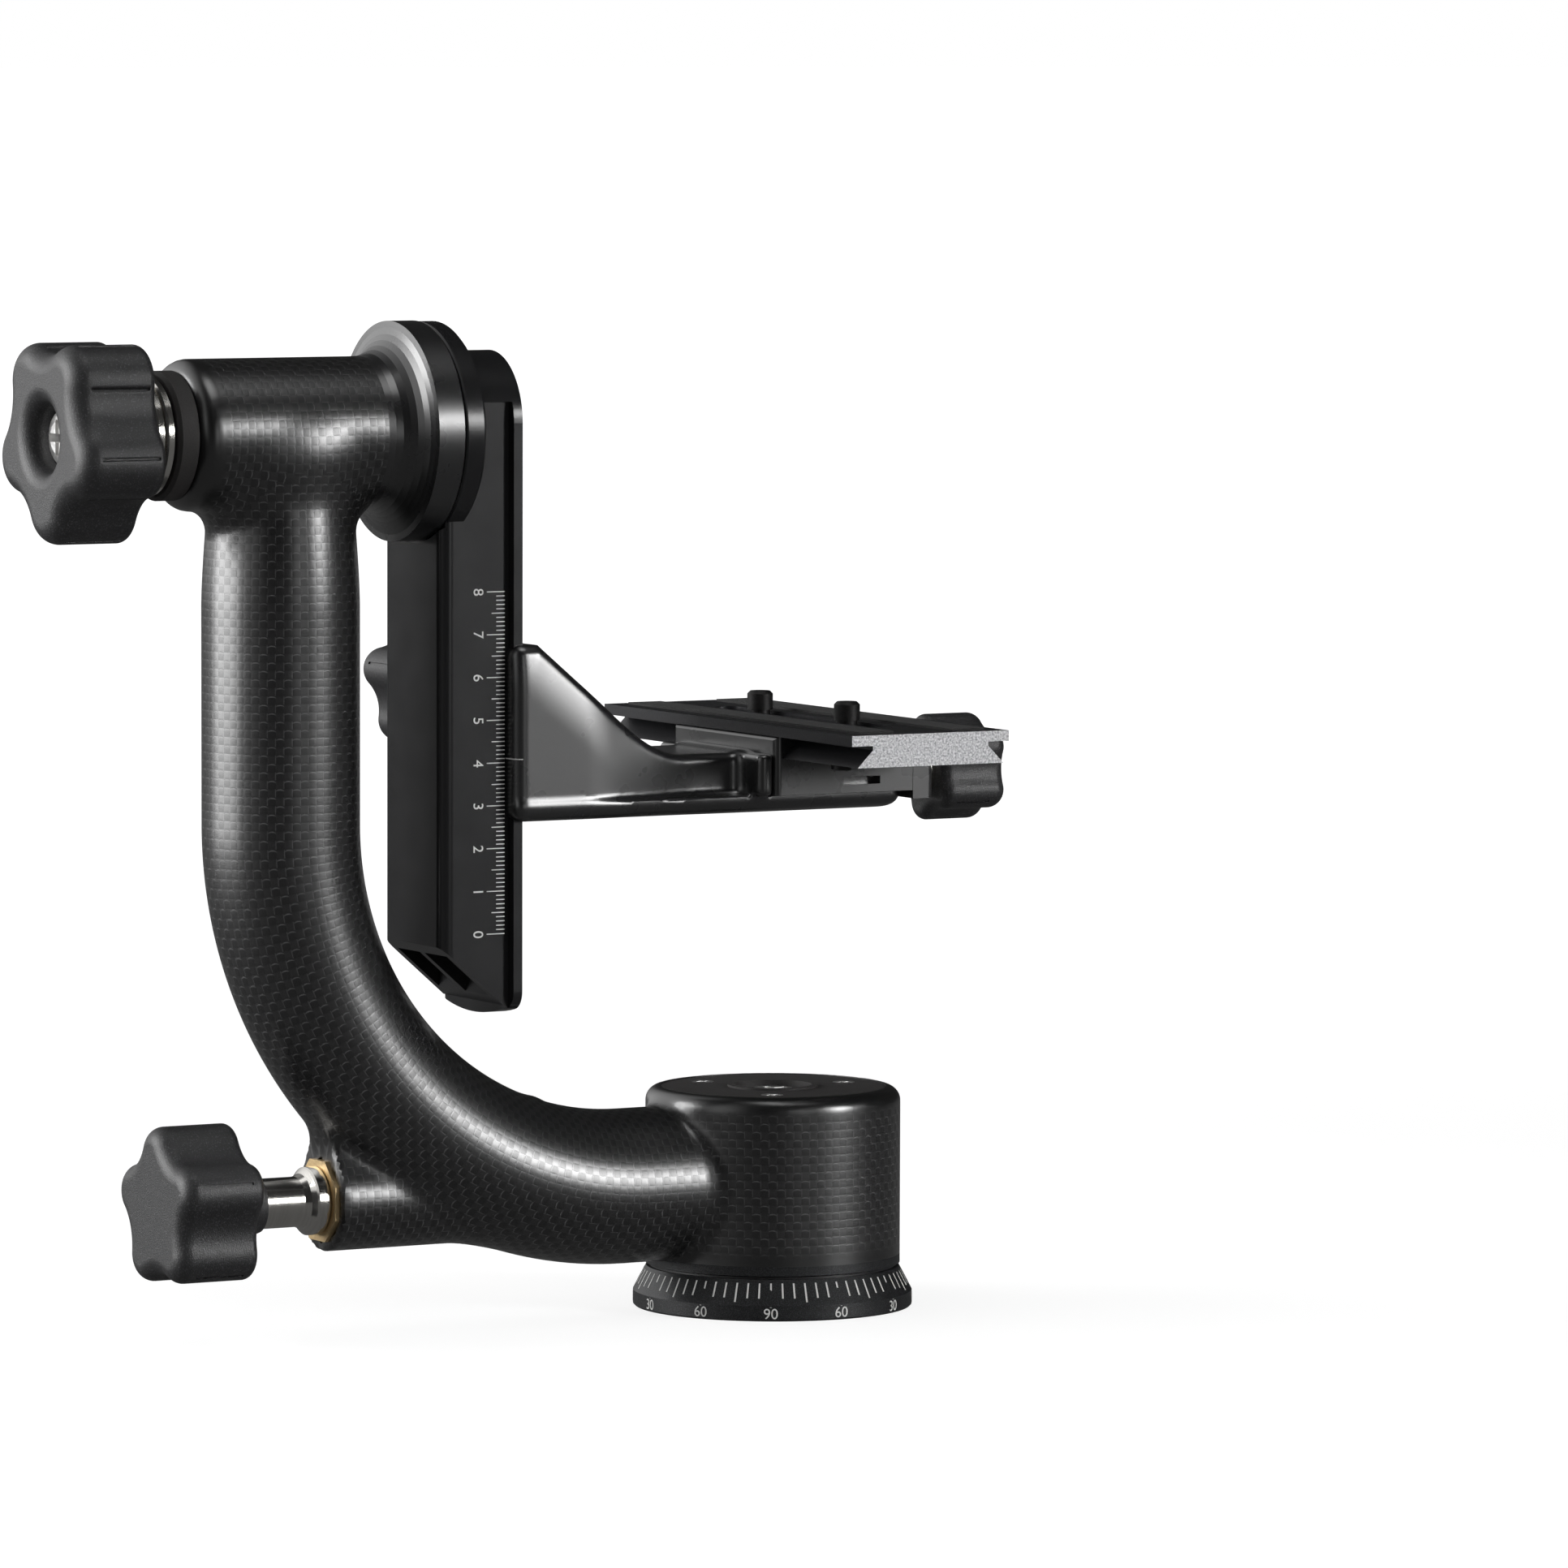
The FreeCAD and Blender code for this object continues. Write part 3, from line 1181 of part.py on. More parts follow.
def clamp_bolt_blanks(extra=0.0):
    bolts = []
    shank = clamp_bolt_radius + extra
    head = clamp_bolt_head_radius + extra
    low = -clamp_bolt_sink if extra else 0
    for x in (-clamp_bolt_half_spacing_x, clamp_bolt_half_spacing_x):
        for y in (-clamp_bolt_half_spacing_y, clamp_bolt_half_spacing_y):
            start = Vector(x, y, bracket_bottom + clamp_bolt_sink)
            bolts.append(turned([(low, 0), (low, head), (0, head), (head - shank, shank),
                                 (clamp_bolt_length + extra, shank),
                                 (clamp_bolt_length + extra, 0)], start, Z))
    return bolts


def clamp_body_screws():
    screws = []
    for bolt in clamp_bolt_blanks():
        middle = bolt.BoundBox.Center
        key = disc(clamp_bolt_key_radius, clamp_bolt_key_depth,
                   Vector(middle.x, middle.y, bracket_bottom + clamp_bolt_sink), Z)
        screws.append(bolt.cut(key))
    return group(screws)


def clamp_pin_blanks(extra=0.0):
    """The two pins that guide the moving jaw, half in the floor and half in the jaw."""
    depth = clamp_jaw_width + clamp_floor_inset
    pins = []
    for side in (-1, 1):
        start = Vector(clamp_floor_x - depth, side * clamp_pin_spacing / 2, clamp_axis_z)
        length = clamp_outer_x - 2 * slide_gap - clamp_floor_x + depth
        pins.append(disc(clamp_pin_radius + extra, length + extra, start, X))
    return pins


def clamp_guide_pins():
    return group(clamp_pin_blanks())


def moving_jaw():
    """The moving half of the lens clamp, which slides on two pins."""
    jaw = jaw_body(1, clamp_floor_x + slide_gap, platform_top - clamp_jaw_drop)
    for pin in clamp_pin_blanks(running_clearance):
        jaw = jaw.cut(pin)
    hole = disc(clamp_screw_radius + 2 * slide_gap, 2 * clamp_jaw_width,
                Vector(clamp_floor_x, 0, clamp_axis_z), X)
    return jaw.cut(hole)


def clamp_screw():
    """The clamp's screw with its thrust collar."""
    start = Vector(clamp_floor_x - clamp_screw_reach, 0, clamp_axis_z)
    jaw_face = clamp_outer_x + slide_gap - start.x
    back = jaw_face + clamp_knob_gap
    end = back + clamp_knob_length * knob_bore_share
    return turned(collared_stud(clamp_screw_radius, clamp_collar_radius, jaw_face, back, end), start, X)


def clamp_knob():
    knob = star_knob(clamp_knob_radius, clamp_knob_valley_radius, clamp_knob_lobe_radius,
                     clamp_knob_length)
    depth = clamp_knob_length * knob_bore_share
    knob = knob.cut(disc(clamp_screw_radius + fit_clearance, depth + fit_clearance, Vector(0, 0, 0), Z))
    start = Vector(clamp_outer_x + slide_gap + clamp_knob_gap, 0, clamp_axis_z)
    return stand(knob, start, X, clamp_knob_spin)


# ---- the lens plate
def lens_plate():
    """The dovetailed plate with its long slot, counterbored below for the screw heads."""
    top = plate_top
    flange_z = top - plate_flange_thickness
    half = [(plate_bottom_half_width, plate_bottom), (plate_waist_half_width, plate_neck_z),
            (plate_waist_half_width, flange_z), (plate_top_half_width, flange_z),
            (plate_top_half_width, top)]
    outline = half + [(-x, z) for x, z in reversed(half)]
    start = -plate_length / 2
    plate = prism([Vector(x, start, z) for x, z in outline], Y * plate_length)
    plate = plate.cut(slot(plate_slot_half_width, plate_bottom - 1, top + 1))
    plate = plate.cut(slot(plate_counterbore_half_width, plate_bottom - 1,
                           plate_bottom + plate_counterbore_depth))
    for side in (-1, 1):
        plate = plate.cut(grip_strip(side, fit_clearance))
        plate = plate.cut(stop_screw(side, fit_clearance))
    return plate


def slot(half_width, low, high):
    """A long slot with round ends along Y, from low to high."""
    run = plate_slot_length / 2 - plate_slot_half_width
    corners = [Vector(half_width, -run, low), Vector(half_width, run, low),
               Vector(-half_width, run, low), Vector(-half_width, -run, low)]
    far_end = Vector(0, run + half_width, low)
    near_end = Vector(0, -run - half_width, low)
    outline = Part.Wire([Part.makeLine(corners[0], corners[1]),
                         Part.Arc(corners[1], far_end, corners[2]).toShape(),
                         Part.makeLine(corners[2], corners[3]),
                         Part.Arc(corners[3], near_end, corners[0]).toShape()])
    return Part.Face(outline).extrude(Z * (high - low))


def grip_strip(side, extra=0.0):
    """A ribbed rubber strip let into the plate's top beside the slot."""
    centre = side * (plate_top_half_width + plate_slot_half_width) / 2
    half = grip_strip_width / 2 + extra
    reach = plate_length / 2 - grip_strip_end_gap
    low = plate_top - (grip_strip_thickness - grip_strip_recess) - extra / 4
    return block((centre - half, -reach - extra, low),
                 (centre + half, reach + extra, low + grip_strip_thickness + extra))


def plate_grip_strips():
    return group([grip_strip(-1), grip_strip(1)])


def stop_screw(side, extra=0.0):
    """A small screw under each end of the plate, which stops it leaving the clamp."""
    head_height = stop_screw_head_height
    end = head_height + stop_screw_length + extra
    return turned([(0, 0), (0, stop_screw_head_radius), (head_height, stop_screw_head_radius),
                   (head_height, stop_screw_radius + extra), (end, stop_screw_radius + extra),
                   (end, 0)], stop_screw_foot(side), Z)


def stop_screw_foot(side):
    return Vector(side * stop_screw_offset, side * (plate_length / 2 - stop_screw_inset),
                  plate_bottom - stop_screw_head_height)


def plate_stop_screws():
    screws = []
    for side in (-1, 1):
        key = disc(stop_screw_key_radius, stop_screw_key_depth, stop_screw_foot(side), Z)
        screws.append(stop_screw(side).cut(key))
    return group(screws)


def foot_screws():
    """The two camera-thread screws in the slot, whose ends stand up for the lens foot."""
    screws = []
    head = foot_screw_head_thickness
    wide = foot_screw_head_radius
    neck = foot_screw_neck_radius
    thread = foot_screw_radius
    low = plate_bottom + foot_screw_head_inset
    clear = plate_top + grip_strip_recess - low
    top = plate_top + foot_screw_rise - low
    half = foot_screw_slot_width / 2
    for side in (-1, 1):
        y = side * foot_screw_spacing / 2
        screw = turned([(0, 0), (0, wide), (head, wide), (head, neck), (clear, neck), (clear, thread),
                        (top - foot_screw_tip, thread), (top, thread - foot_screw_tip), (top, 0)],
                       Vector(0, y, low), Z)
        driver = block((-wide, y - half, low - 1), (wide, y + half, low + foot_screw_slot_depth))
        screws.append(screw.cut(driver))
    return group(screws)


# ---- bearings, each split by what its rings turn with
def pan_bearings():
    lower = ball_bearing(pan_bearing_bore_radius, pan_bearing_outer_radius, pan_bearing_width,
                         Vector(0, 0, lower_bearing_z), Z)
    upper = ball_bearing(pan_bearing_bore_radius, pan_bearing_outer_radius, pan_bearing_width,
                         Vector(0, 0, upper_bearing_z), Z)
    return lower, upper


def tilt_bearings():
    left = ball_bearing(tilt_bearing_bore_radius, tilt_bearing_outer_radius, tilt_bearing_width,
                        Vector(left_bearing_x, 0, tilt_axis_height), X)
    right = ball_bearing(tilt_bearing_bore_radius, tilt_bearing_outer_radius, tilt_bearing_width,
                         Vector(right_bearing_x, 0, tilt_axis_height), X)
    return left, right


def all_pieces():
    pieces = {
        "graduated_base": graduated_base(), "base_screws": base_screws(),
        "pan_spindle": pan_spindle(), "spindle_screw": spindle_screw(),
        "spindle_washer": spindle_washer(), "bearing_spacer": bearing_spacer(),
        "glide_ring": glide_ring(), "carbon_arm": carbon_arm(), "housing_liner": housing_liner(),
        "housing_end_ring": housing_end_ring(), "top_cap": top_cap(),
        "top_cap_screws": top_cap_screws(), "pan_lock_bush": pan_lock_bush(),
        "sleeve_flange": sleeve_flange(), "sleeve_liner": sleeve_liner(),
        "tilt_end_cap": tilt_end_cap(), "swing_arm": swing_arm(), "tilt_spindle": tilt_spindle(),
        "tilt_friction_washer": tilt_friction_washer(), "hub_bolt": hub_bolt(),
        "tilt_thrust_washers": tilt_thrust_washers(), "tilt_knob": tilt_knob(),
        "tilt_knob_insert": tilt_knob_insert(), "tilt_knob_screw": tilt_knob_screw(),
        "pan_knob": pan_knob(), "pan_knob_hub": pan_knob_hub(),
        "pan_lock_screw": pan_lock_screw(), "pan_brake_pad": pan_brake_pad(),
        "platform_bracket": platform_bracket(), "rail_jaw": rail_jaw(),
        "rail_jaw_pins": rail_jaw_pins(), "rail_knob": rail_knob(),
        "rail_knob_stud": rail_knob_stud(), "clamp_body": clamp_body(),
        "clamp_body_screws": clamp_body_screws(), "clamp_guide_pins": clamp_guide_pins(),
        "moving_jaw": moving_jaw(), "clamp_screw": clamp_screw(), "clamp_knob": clamp_knob(),
        "lens_plate": lens_plate(), "plate_grip_strips": plate_grip_strips(),
        "plate_stop_screws": plate_stop_screws(), "foot_screws": foot_screws()}
    for name, bearings in (("pan", pan_bearings()), ("tilt", tilt_bearings())):
        pieces[name + "_bearing_inner_rings"] = group([b[0] for b in bearings])
        pieces[name + "_bearing_outer_rings"] = group([b[1] for b in bearings])
        pieces[name + "_bearing_balls"] = group([ball for b in bearings for ball in b[2]])
    for name in ("clamp_body", "clamp_body_screws", "clamp_guide_pins", "moving_jaw", "clamp_screw",
                 "clamp_knob", "lens_plate", "plate_grip_strips", "plate_stop_screws", "foot_screws"):
        pieces[name].translate(X * clamp_offset)
    return pieces


os.makedirs("parts", exist_ok=True)
for node, shape in all_pieces().items():
    shape.exportStep("parts/" + node + ".step")
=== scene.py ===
import math

import bmesh
import bpy
import numpy as np
from mathutils import Matrix, Vector


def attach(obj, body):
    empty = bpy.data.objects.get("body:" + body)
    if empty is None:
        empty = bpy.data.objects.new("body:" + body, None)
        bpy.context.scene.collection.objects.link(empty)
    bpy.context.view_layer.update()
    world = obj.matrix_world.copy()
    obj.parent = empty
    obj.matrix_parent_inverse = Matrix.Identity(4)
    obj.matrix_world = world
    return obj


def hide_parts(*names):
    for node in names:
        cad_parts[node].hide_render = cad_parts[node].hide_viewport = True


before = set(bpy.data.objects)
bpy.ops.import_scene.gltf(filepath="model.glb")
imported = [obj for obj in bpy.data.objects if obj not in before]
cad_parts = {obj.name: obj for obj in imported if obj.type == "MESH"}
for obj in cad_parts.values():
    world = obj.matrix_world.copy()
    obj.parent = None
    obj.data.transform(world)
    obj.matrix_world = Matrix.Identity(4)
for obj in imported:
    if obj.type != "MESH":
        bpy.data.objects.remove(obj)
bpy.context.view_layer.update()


# Graduated base: a turned aluminium disc, bead blasted and black anodised, that stays
# still on the tripod. Its scale is engraved on the cone and the band and filled with
# white paint.
class Value:
    """A socket of a material's nodes, worked on with Python's own operators."""

    def __init__(self, tree, socket):
        self.tree, self.socket = tree, socket

    def node(self, kind, settings=(), sockets=(), out=0):
        made = self.tree.nodes.new("ShaderNode" + kind)
        for name, setting in dict(settings).items():
            if name == "stops":
                ramp = made.color_ramp
                while len(ramp.elements) < len(setting):
                    ramp.elements.new(0.5)
                for stop, (position, shade) in zip(ramp.elements, setting):
                    stop.position, stop.color = position, (shade, shade, shade, 1)
            else:
                setattr(made, name, setting)
        for key, value in dict(sockets).items():
            if isinstance(value, Value):
                self.tree.links.new(value.socket, made.inputs[key])
            else:
                made.inputs[key].default_value = value
        return Value(self.tree, made.outputs[out])

    def math(self, operation, *values):
        return self.node("Math", {"operation": operation}, enumerate((self, *values)))

    def __add__(self, other):
        return self.math("ADD", other)

    def __sub__(self, other):
        return self.math("SUBTRACT", other)

    def __rsub__(self, other):
        return self * -1 + other

    def __mul__(self, other):
        return self.math("MULTIPLY", other)

    def __truediv__(self, other):
        return self.math("DIVIDE", other)

    __radd__, __rmul__ = __add__, __mul__

    def parts(self):
        split = self.node("SeparateXYZ", (), {0: self})
        return [Value(self.tree, out) for out in split.socket.node.outputs]

    def ramp(self, *stops):
        return self.node("ValToRGB", {"stops": stops}, {0: self})

    def ramp_between(self, low, high):
        """0 below low, 1 above high and even in between."""
        return self.node("MapRange", (), {0: self, 1: low, 2: high})

    def colour(self, low, high):
        """The colour low where this value is 0 and high where it is 1."""
        return self.node("Mix", {"data_type": "RGBA"}, {0: self, 6: (*low, 1), 7: (*high, 1)}, 2)

    def grain(self, size, detail=2.0, stretch=(1, 1, 1)):
        """Noise from 0 to 1 with features of that size, in metres, drawn out by stretch."""
        shares = [1 / (size * s) for s in stretch]
        scaled = self.node("VectorMath", {"operation": "MULTIPLY"}, {0: self, 1: shares})
        return self.node("TexNoise", (), {"Vector": scaled, "Scale": 1.0, "Detail": detail})

    def bump(self, depth):
        """A normal for a surface that this value, from 0 to 1, lifts by depth metres."""
        return self.node("Bump", (), {"Height": self, "Distance": depth, "Strength": 1.0})


def finish(name, make, **sockets):
    """A material whose make function, given the object's coordinates, returns what varies."""
    material = bpy.data.materials.new(name)
    material.use_nodes = True
    tree = material.node_tree
    shader = tree.nodes["Principled BSDF"]
    coordinates = tree.nodes.new("ShaderNodeTexCoord")
    for socket, value in {**sockets, **make(Value(tree, coordinates.outputs["Object"]))}.items():
        target = shader.inputs[socket.replace("_", " ")]
        if isinstance(value, Value):
            tree.links.new(value.socket, target)
        else:
            target.default_value = value
    return material


def dress(material, *names):
    for name in names:
        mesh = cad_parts[name].data
        mesh.materials.clear()
        mesh.materials.append(material)


def anodised(place):
    speck = place.grain(0.00022).ramp((0.45, 0), (0.75, 1))
    cloud = place.grain(0.012)
    return {"Base_Color": speck.colour((0.012, 0.0125, 0.0135), (0.05, 0.052, 0.055)),
            "Roughness": 0.38 + cloud * 0.08 - speck * 0.06,
            "Normal": place.grain(0.00035, 3).bump(0.00003)}


black_anodised = finish("black_anodised", anodised, Metallic=0.35)
dress(black_anodised, "graduated_base", "housing_end_ring")

base_radius, base_cone_top_radius = 0.0334, 0.0303
base_band_height, base_height = 0.0037, 0.0096
scale_facing = math.radians(-120)     # where 90 stands
tick_top = 0.00878                    # every mark starts at this height on the cone
tick_width = 0.00042
paint = 0.00005                       # how far the paint stands proud


def painted(place):
    return {"Base_Color": place.grain(0.0003).colour((0.55, 0.55, 0.54), (0.75, 0.75, 0.73))}


white_paint = finish("white_paint", painted, Roughness=0.55)


def mesh_object(name, corners, faces, material, smooth=False):
    mesh = bpy.data.meshes.new(name)
    mesh.from_pydata([tuple(map(float, c)) for c in corners], [], faces)
    mesh.validate()
    if material:
        mesh.materials.append(material)
    if smooth:
        mesh.shade_smooth()
    made = bpy.data.objects.new(name, mesh)
    bpy.context.scene.collection.objects.link(made)
    return made


box_faces = [(0, 3, 2, 1), (4, 5, 6, 7), (0, 1, 5, 4), (1, 2, 6, 5), (2, 3, 7, 6), (3, 0, 4, 7)]


def figures(text, height, thickness):
    """The corners and faces of raised figures, centred on the origin and facing +Z."""
    curve = bpy.data.curves.new("figures", "FONT")
    curve.body, curve.size = text, height / 0.7
    curve.align_x, curve.align_y = "CENTER", "CENTER"
    curve.extrude, curve.resolution_u = thickness / 2, 4
    written = bpy.data.objects.new("figures", curve)
    mesh = bpy.data.meshes.new_from_object(written)
    shape = bmesh.new()
    shape.from_mesh(mesh)
    bmesh.ops.remove_doubles(shape, verts=shape.verts, dist=1e-6)
    corners = np.array([v.co for v in shape.verts])
    faces = [[v.index for v in f.verts] for f in shape.faces]
    shape.free()
    bpy.data.objects.remove(written)
    middle = (corners[:, :2].max(0) + corners[:, :2].min(0)) / 2
    corners[:, :2] -= middle
    return corners, faces


corners, faces = [], []


def add(points, sides):
    start = len(corners)
    corners.extend(points)
    faces.extend([[start + i for i in side] for side in sides])


def on_base(turn, height, out):
    """A point on the scale: an angle, a height and how far it stands off the metal."""
    slope = (base_radius - base_cone_top_radius) / (base_height - base_band_height)
    radius = base_radius - max(0.0, height - base_band_height) * slope + out
    return radius * math.cos(turn), radius * math.sin(turn), height


for step in range(72):
    turn = scale_facing + math.radians(5 * step)
    low = 0.0033 if step % 6 == 0 else 0.0045 if step % 3 == 0 else 0.0054
    half = tick_width / 2 / base_radius
    ring = [(turn - half, low), (turn + half, low), (turn + half, tick_top), (turn - half, tick_top)]
    add([on_base(*p, -paint) for p in ring] + [on_base(*p, paint) for p in ring], box_faces)
    if step % 6 == 0:
        steps_off = min(step, 72 - step) // 6      # thirties away from the 90
        number = (90, 60, 30, 0, 30, 60, 90)[steps_off]
        points, sides = figures(str(number), 0.0025, 2 * paint)
        add([on_base(turn + x / base_radius, 0.00185 + y, z) for x, y, z in points], sides)
scale = mesh_object("base_scale", corners, faces, white_paint)
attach(scale, "base")


# Pan bearing and its spindle: turned steel parts inside the housing, with the screws
# that hold the spindle's flange in the base.
def turned_steel(place):
    lines = place.grain(0.00025, 1, (1, 1, 30))
    return {"Base_Color": lines.colour((0.42, 0.42, 0.43), (0.62, 0.62, 0.62)),
            "Roughness": 0.22 + lines * 0.2,
            "Normal": lines.bump(0.00002)}


steel = finish("turned_steel", turned_steel, Metallic=1.0)
dress(steel, "pan_spindle", "base_screws", "spindle_washer", "bearing_spacer",
      "pan_bearing_inner_rings", "pan_bearing_outer_rings", "pan_bearing_balls")


def acetal(place):
    return {"Base_Color": place.grain(0.004).colour((0.010, 0.010, 0.011), (0.022, 0.022, 0.024)),
            "Roughness": 0.3 + place.grain(0.0006) * 0.15}


dress(finish("glide_plastic", acetal), "glide_ring")


# Carbon arm: pan housing, J tube and tilt sleeve in one moulding of plain-weave carbon
# cloth, clear coated. The cloth is wrapped along each tube, and the joins are blended.
tube_radius, sleeve_radius, housing_radius = 18.4, 17.6, 30.5
neck_radius = 15.2                     # the tube's where it goes into the sleeve
tube_height, mast_x, bend_radius, tilt_height = 30.7, -131.4, 89.4, 211.0
bend_x, bend_z = mast_x + bend_radius, tube_height + bend_radius
housing_low, housing_high = 12.6, 52.6
sleeve_low, sleeve_high = -159.5, -112.0
boss_height, boss_radius, boss_end, boss_start = 31.8, 12.0, -121.0, -65
tail_rise, tail_radius = 16.4, 3.8
cell = 1.95                            # width of one strand of the cloth


def round_union(a, b, blend):
    inside = np.hypot(np.maximum(blend - a, 0), np.maximum(blend - b, 0))
    return np.maximum(blend, np.minimum(a, b)) - inside


def round_both(a, b, edge):
    return -round_union(-a, -b, edge)


def capped(radial, axial, edge):
    """Distance to a cylinder whose edges are rounded."""
    radial, axial = radial + edge, axial + edge
    outside = np.hypot(np.maximum(radial, 0), np.maximum(axial, 0))
    return outside + np.minimum(np.maximum(radial, axial), 0) - edge


def tube_part(x, y, z):
    arc = np.hypot(np.hypot(x - bend_x, z - bend_z) - bend_radius, y)
    level = np.hypot(y, z - tube_height)
    upright = np.hypot(y, x - mast_x)
    corner = (x < bend_x) & (z < bend_z)
    middle = np.where(corner, arc, np.where(x >= bend_x, level, upright))
    middle = np.where((x >= bend_x) & (z >= bend_z), np.minimum(level, upright), middle)
    narrowing = np.clip((z - (tilt_height - 40)) / 40, 0, 1) ** 1.5 * (tube_radius - neck_radius)
    body = middle - tube_radius + narrowing
    return round_both(np.maximum(body, x - 5), z - tilt_height - 5, 12)


def housing_part(x, y, z):
    middle = (housing_low - 8 + housing_high) / 2
    return capped(np.hypot(x, y) - housing_radius, np.abs(z - middle) - (housing_high - middle), 3.4)


def sleeve_part(x, y, z):
    middle = (sleeve_low + sleeve_high + 8) / 2
    radial = np.hypot(y, z - tilt_height) - sleeve_radius
    return capped(radial, np.abs(x - middle) - (middle - sleeve_low), 4.2)


def boss_part(x, y, z):
    up, side = z - boss_height, np.abs(y)
    lean = (boss_radius - tail_radius) / tail_rise
    rise = math.sqrt(1 - lean * lean)
    along = up * rise - side * lean
    flank = side * rise + up * lean - boss_radius
    tail = np.hypot(side, up - tail_rise) - tail_radius
    drop = np.where(along < 0, np.hypot(side, up) - boss_radius,
                    np.where(along > rise * tail_rise, tail, flank))
    return capped(drop, np.maximum(boss_end - x, x - boss_start), 0.7)


def arm_shape(x, y, z):
    tube = round_union(tube_part(x, y, z), boss_part(x, y, z), 3.0)
    tube = round_union(tube, sleeve_part(x, y, z), 7.0)
    return round_union(tube, housing_part(x, y, z), 2.5)


def skin(shape, low, high, step):
    """A closed quad mesh on the surface where shape is 0: one corner in each crossed cell."""
    axes = [np.arange(a, b + step, step) for a, b in zip(low, high)]
    values = shape(*np.meshgrid(*axes, indexing="ij"))
    n = np.array(values.shape) - 1
    total, count = np.zeros((*n, 3)), np.zeros(n)
    base = np.stack(np.meshgrid(*[np.arange(m) for m in n], indexing="ij"), -1)
    quads = []
    for axis in range(3):
        others = [k for k in range(3) if k != axis]
        for first in (0, 1):
            for second in (0, 1):
                offset = np.zeros(3, int)
                offset[others[0]], offset[others[1]] = first, second
                ends = []
                for end in (0, 1):
                    offset[axis] = end
                    ends.append(values[tuple(slice(o, o + m) for o, m in zip(offset, n))])
                a, b = ends
                crossed = (a < 0) != (b < 0)
                share = np.where(crossed, a / np.where(crossed, a - b, 1), 0)
                offset[axis] = 0
                spot = base + offset
                spot = spot.astype(float)
                spot[..., axis] += share
                total += spot * crossed[..., None]
                count += crossed
    used = count > 0
    number = np.full(n, -1)
    number[used] = np.arange(used.sum())
    points = total[used] / count[used][:, None] * step + np.array(low)
    for axis in range(3):
        i, j = [k for k in range(3) if k != axis]
        a = np.take(values, range(values.shape[axis] - 1), axis)
        b = np.take(values, range(1, values.shape[axis]), axis)
        spots = np.argwhere((a < 0) != (b < 0))
        within = (spots[:, (i, j)] > 0) & (spots[:, (i, j)] < (n[i], n[j]))
        spots = spots[within.all(1)]
        ring = []
        for di, dj in ((1, 1), (0, 1), (0, 0), (1, 0)):
            at = spots.copy()
            at[:, i] -= di
            at[:, j] -= dj
            ring.append(number[tuple(at.T)])
        quad = np.stack(ring, 1)
        inward = a[tuple(spots.T)] < 0
        if axis == 1:
            inward = ~inward
        quads.append(np.where(inward[:, None], quad, quad[:, ::-1]))
    for _ in range(3):                 # pull every corner onto the true surface
        here = shape(*points.T)
        tiny = 0.02
        slope = np.stack([(shape(*(points + d).T) - here) / tiny for d in np.eye(3) * tiny], 1)
        points = points - slope * (here / np.maximum((slope ** 2).sum(1), 0.2))[:, None]
    return points, np.concatenate(quads)


def weave(place):
    x, y, z = place.parts()
    off_axis = place.node("VectorMath", {"operation": "LENGTH"}, {
        0: place.node("VectorMath", {"operation": "MULTIPLY"}, {0: place, 1: (1, 1, 0)})}, 1)
    on_housing = off_axis.math("LESS_THAN", 0.0312)
    rim = (z * 1000).ramp_between(47.2, 49.4) + 1 - (z * 1000).ramp_between(14.0, 16.5)
    tip = 1 - (x * 1000).ramp_between(sleeve_low + 5.2, sleeve_low + 6.6)
    cloth = (1 - on_housing * rim) * (1 - tip)             # the rims are plain resin
    across, along, _ = place.node("UVMap", {"uv_map": "cloth"}).parts()
    over = ((across.math("FLOOR") + along.math("FLOOR")) * 0.5).math("FRACT") * 2
    u, v = across.math("FRACT"), along.math("FRACT")
    side = over * (u - v) + v                              # across the strand on top
    run = over * (v - u) + u                               # along it
    bow = (side * 2 - 1).math("POWER", 2)
    crown = 1 - bow * bow
    height = crown * ((run * math.pi).math("SINE") * 0.75 + 0.25)
    # Painted highlight: thin bright lines in the base colour at each strand's end and along one side,
    # where light would catch the curve of the cloth. The same lines also get a little more coat.
    painted_end_glint = ((run + bow * 0.13 - 0.9).math("ABSOLUTE")).ramp((0.03, 1), (0.10, 0)) * (1 - bow * 0.5)
    painted_edge_glint = (u - 0.04).math("ABSOLUTE").ramp((0.02, 1), (0.09, 0)) * 0.55
    painted_glint = over * painted_end_glint + (1 - over) * painted_edge_glint
    fibre = over.node("Mix", {"data_type": "VECTOR"}, {
        0: over,
        4: across.node("CombineXYZ", (), {0: across * 0.6, 1: along * 14}),
        5: across.node("CombineXYZ", (), {0: across * 14, 1: along * 0.6})}, 1)
    threads = fibre.node("TexNoise", (), {"Vector": fibre, "Scale": 1.0, "Detail": 2.0})
    patchy = place.grain(0.009, 2)
    # Base colour: the strands' own tone, darker where the strand on top runs along, with the painted
    # glint lines added to it.
    tone_and_painted_glint = (1 - over * 0.7) * (0.4 + threads * 0.6) * crown * 0.075 + painted_glint * (0.22 + patchy * 0.55)
    return {"Base_Color": (tone_and_painted_glint * cloth).colour((0.0022, 0.0022, 0.0024), (0.120, 0.121, 0.123)),
            "Roughness": 0.32 + over * cloth * 0.03,
            "Coat_Weight": 0.85 - over * cloth * 0.30 + painted_glint * cloth * 0.15,
            "Normal": ((height + threads * 0.05) * cloth).bump(0.000022)}


carbon = finish("carbon_cloth", weave, IOR=1.7, Coat_Roughness=0.28)


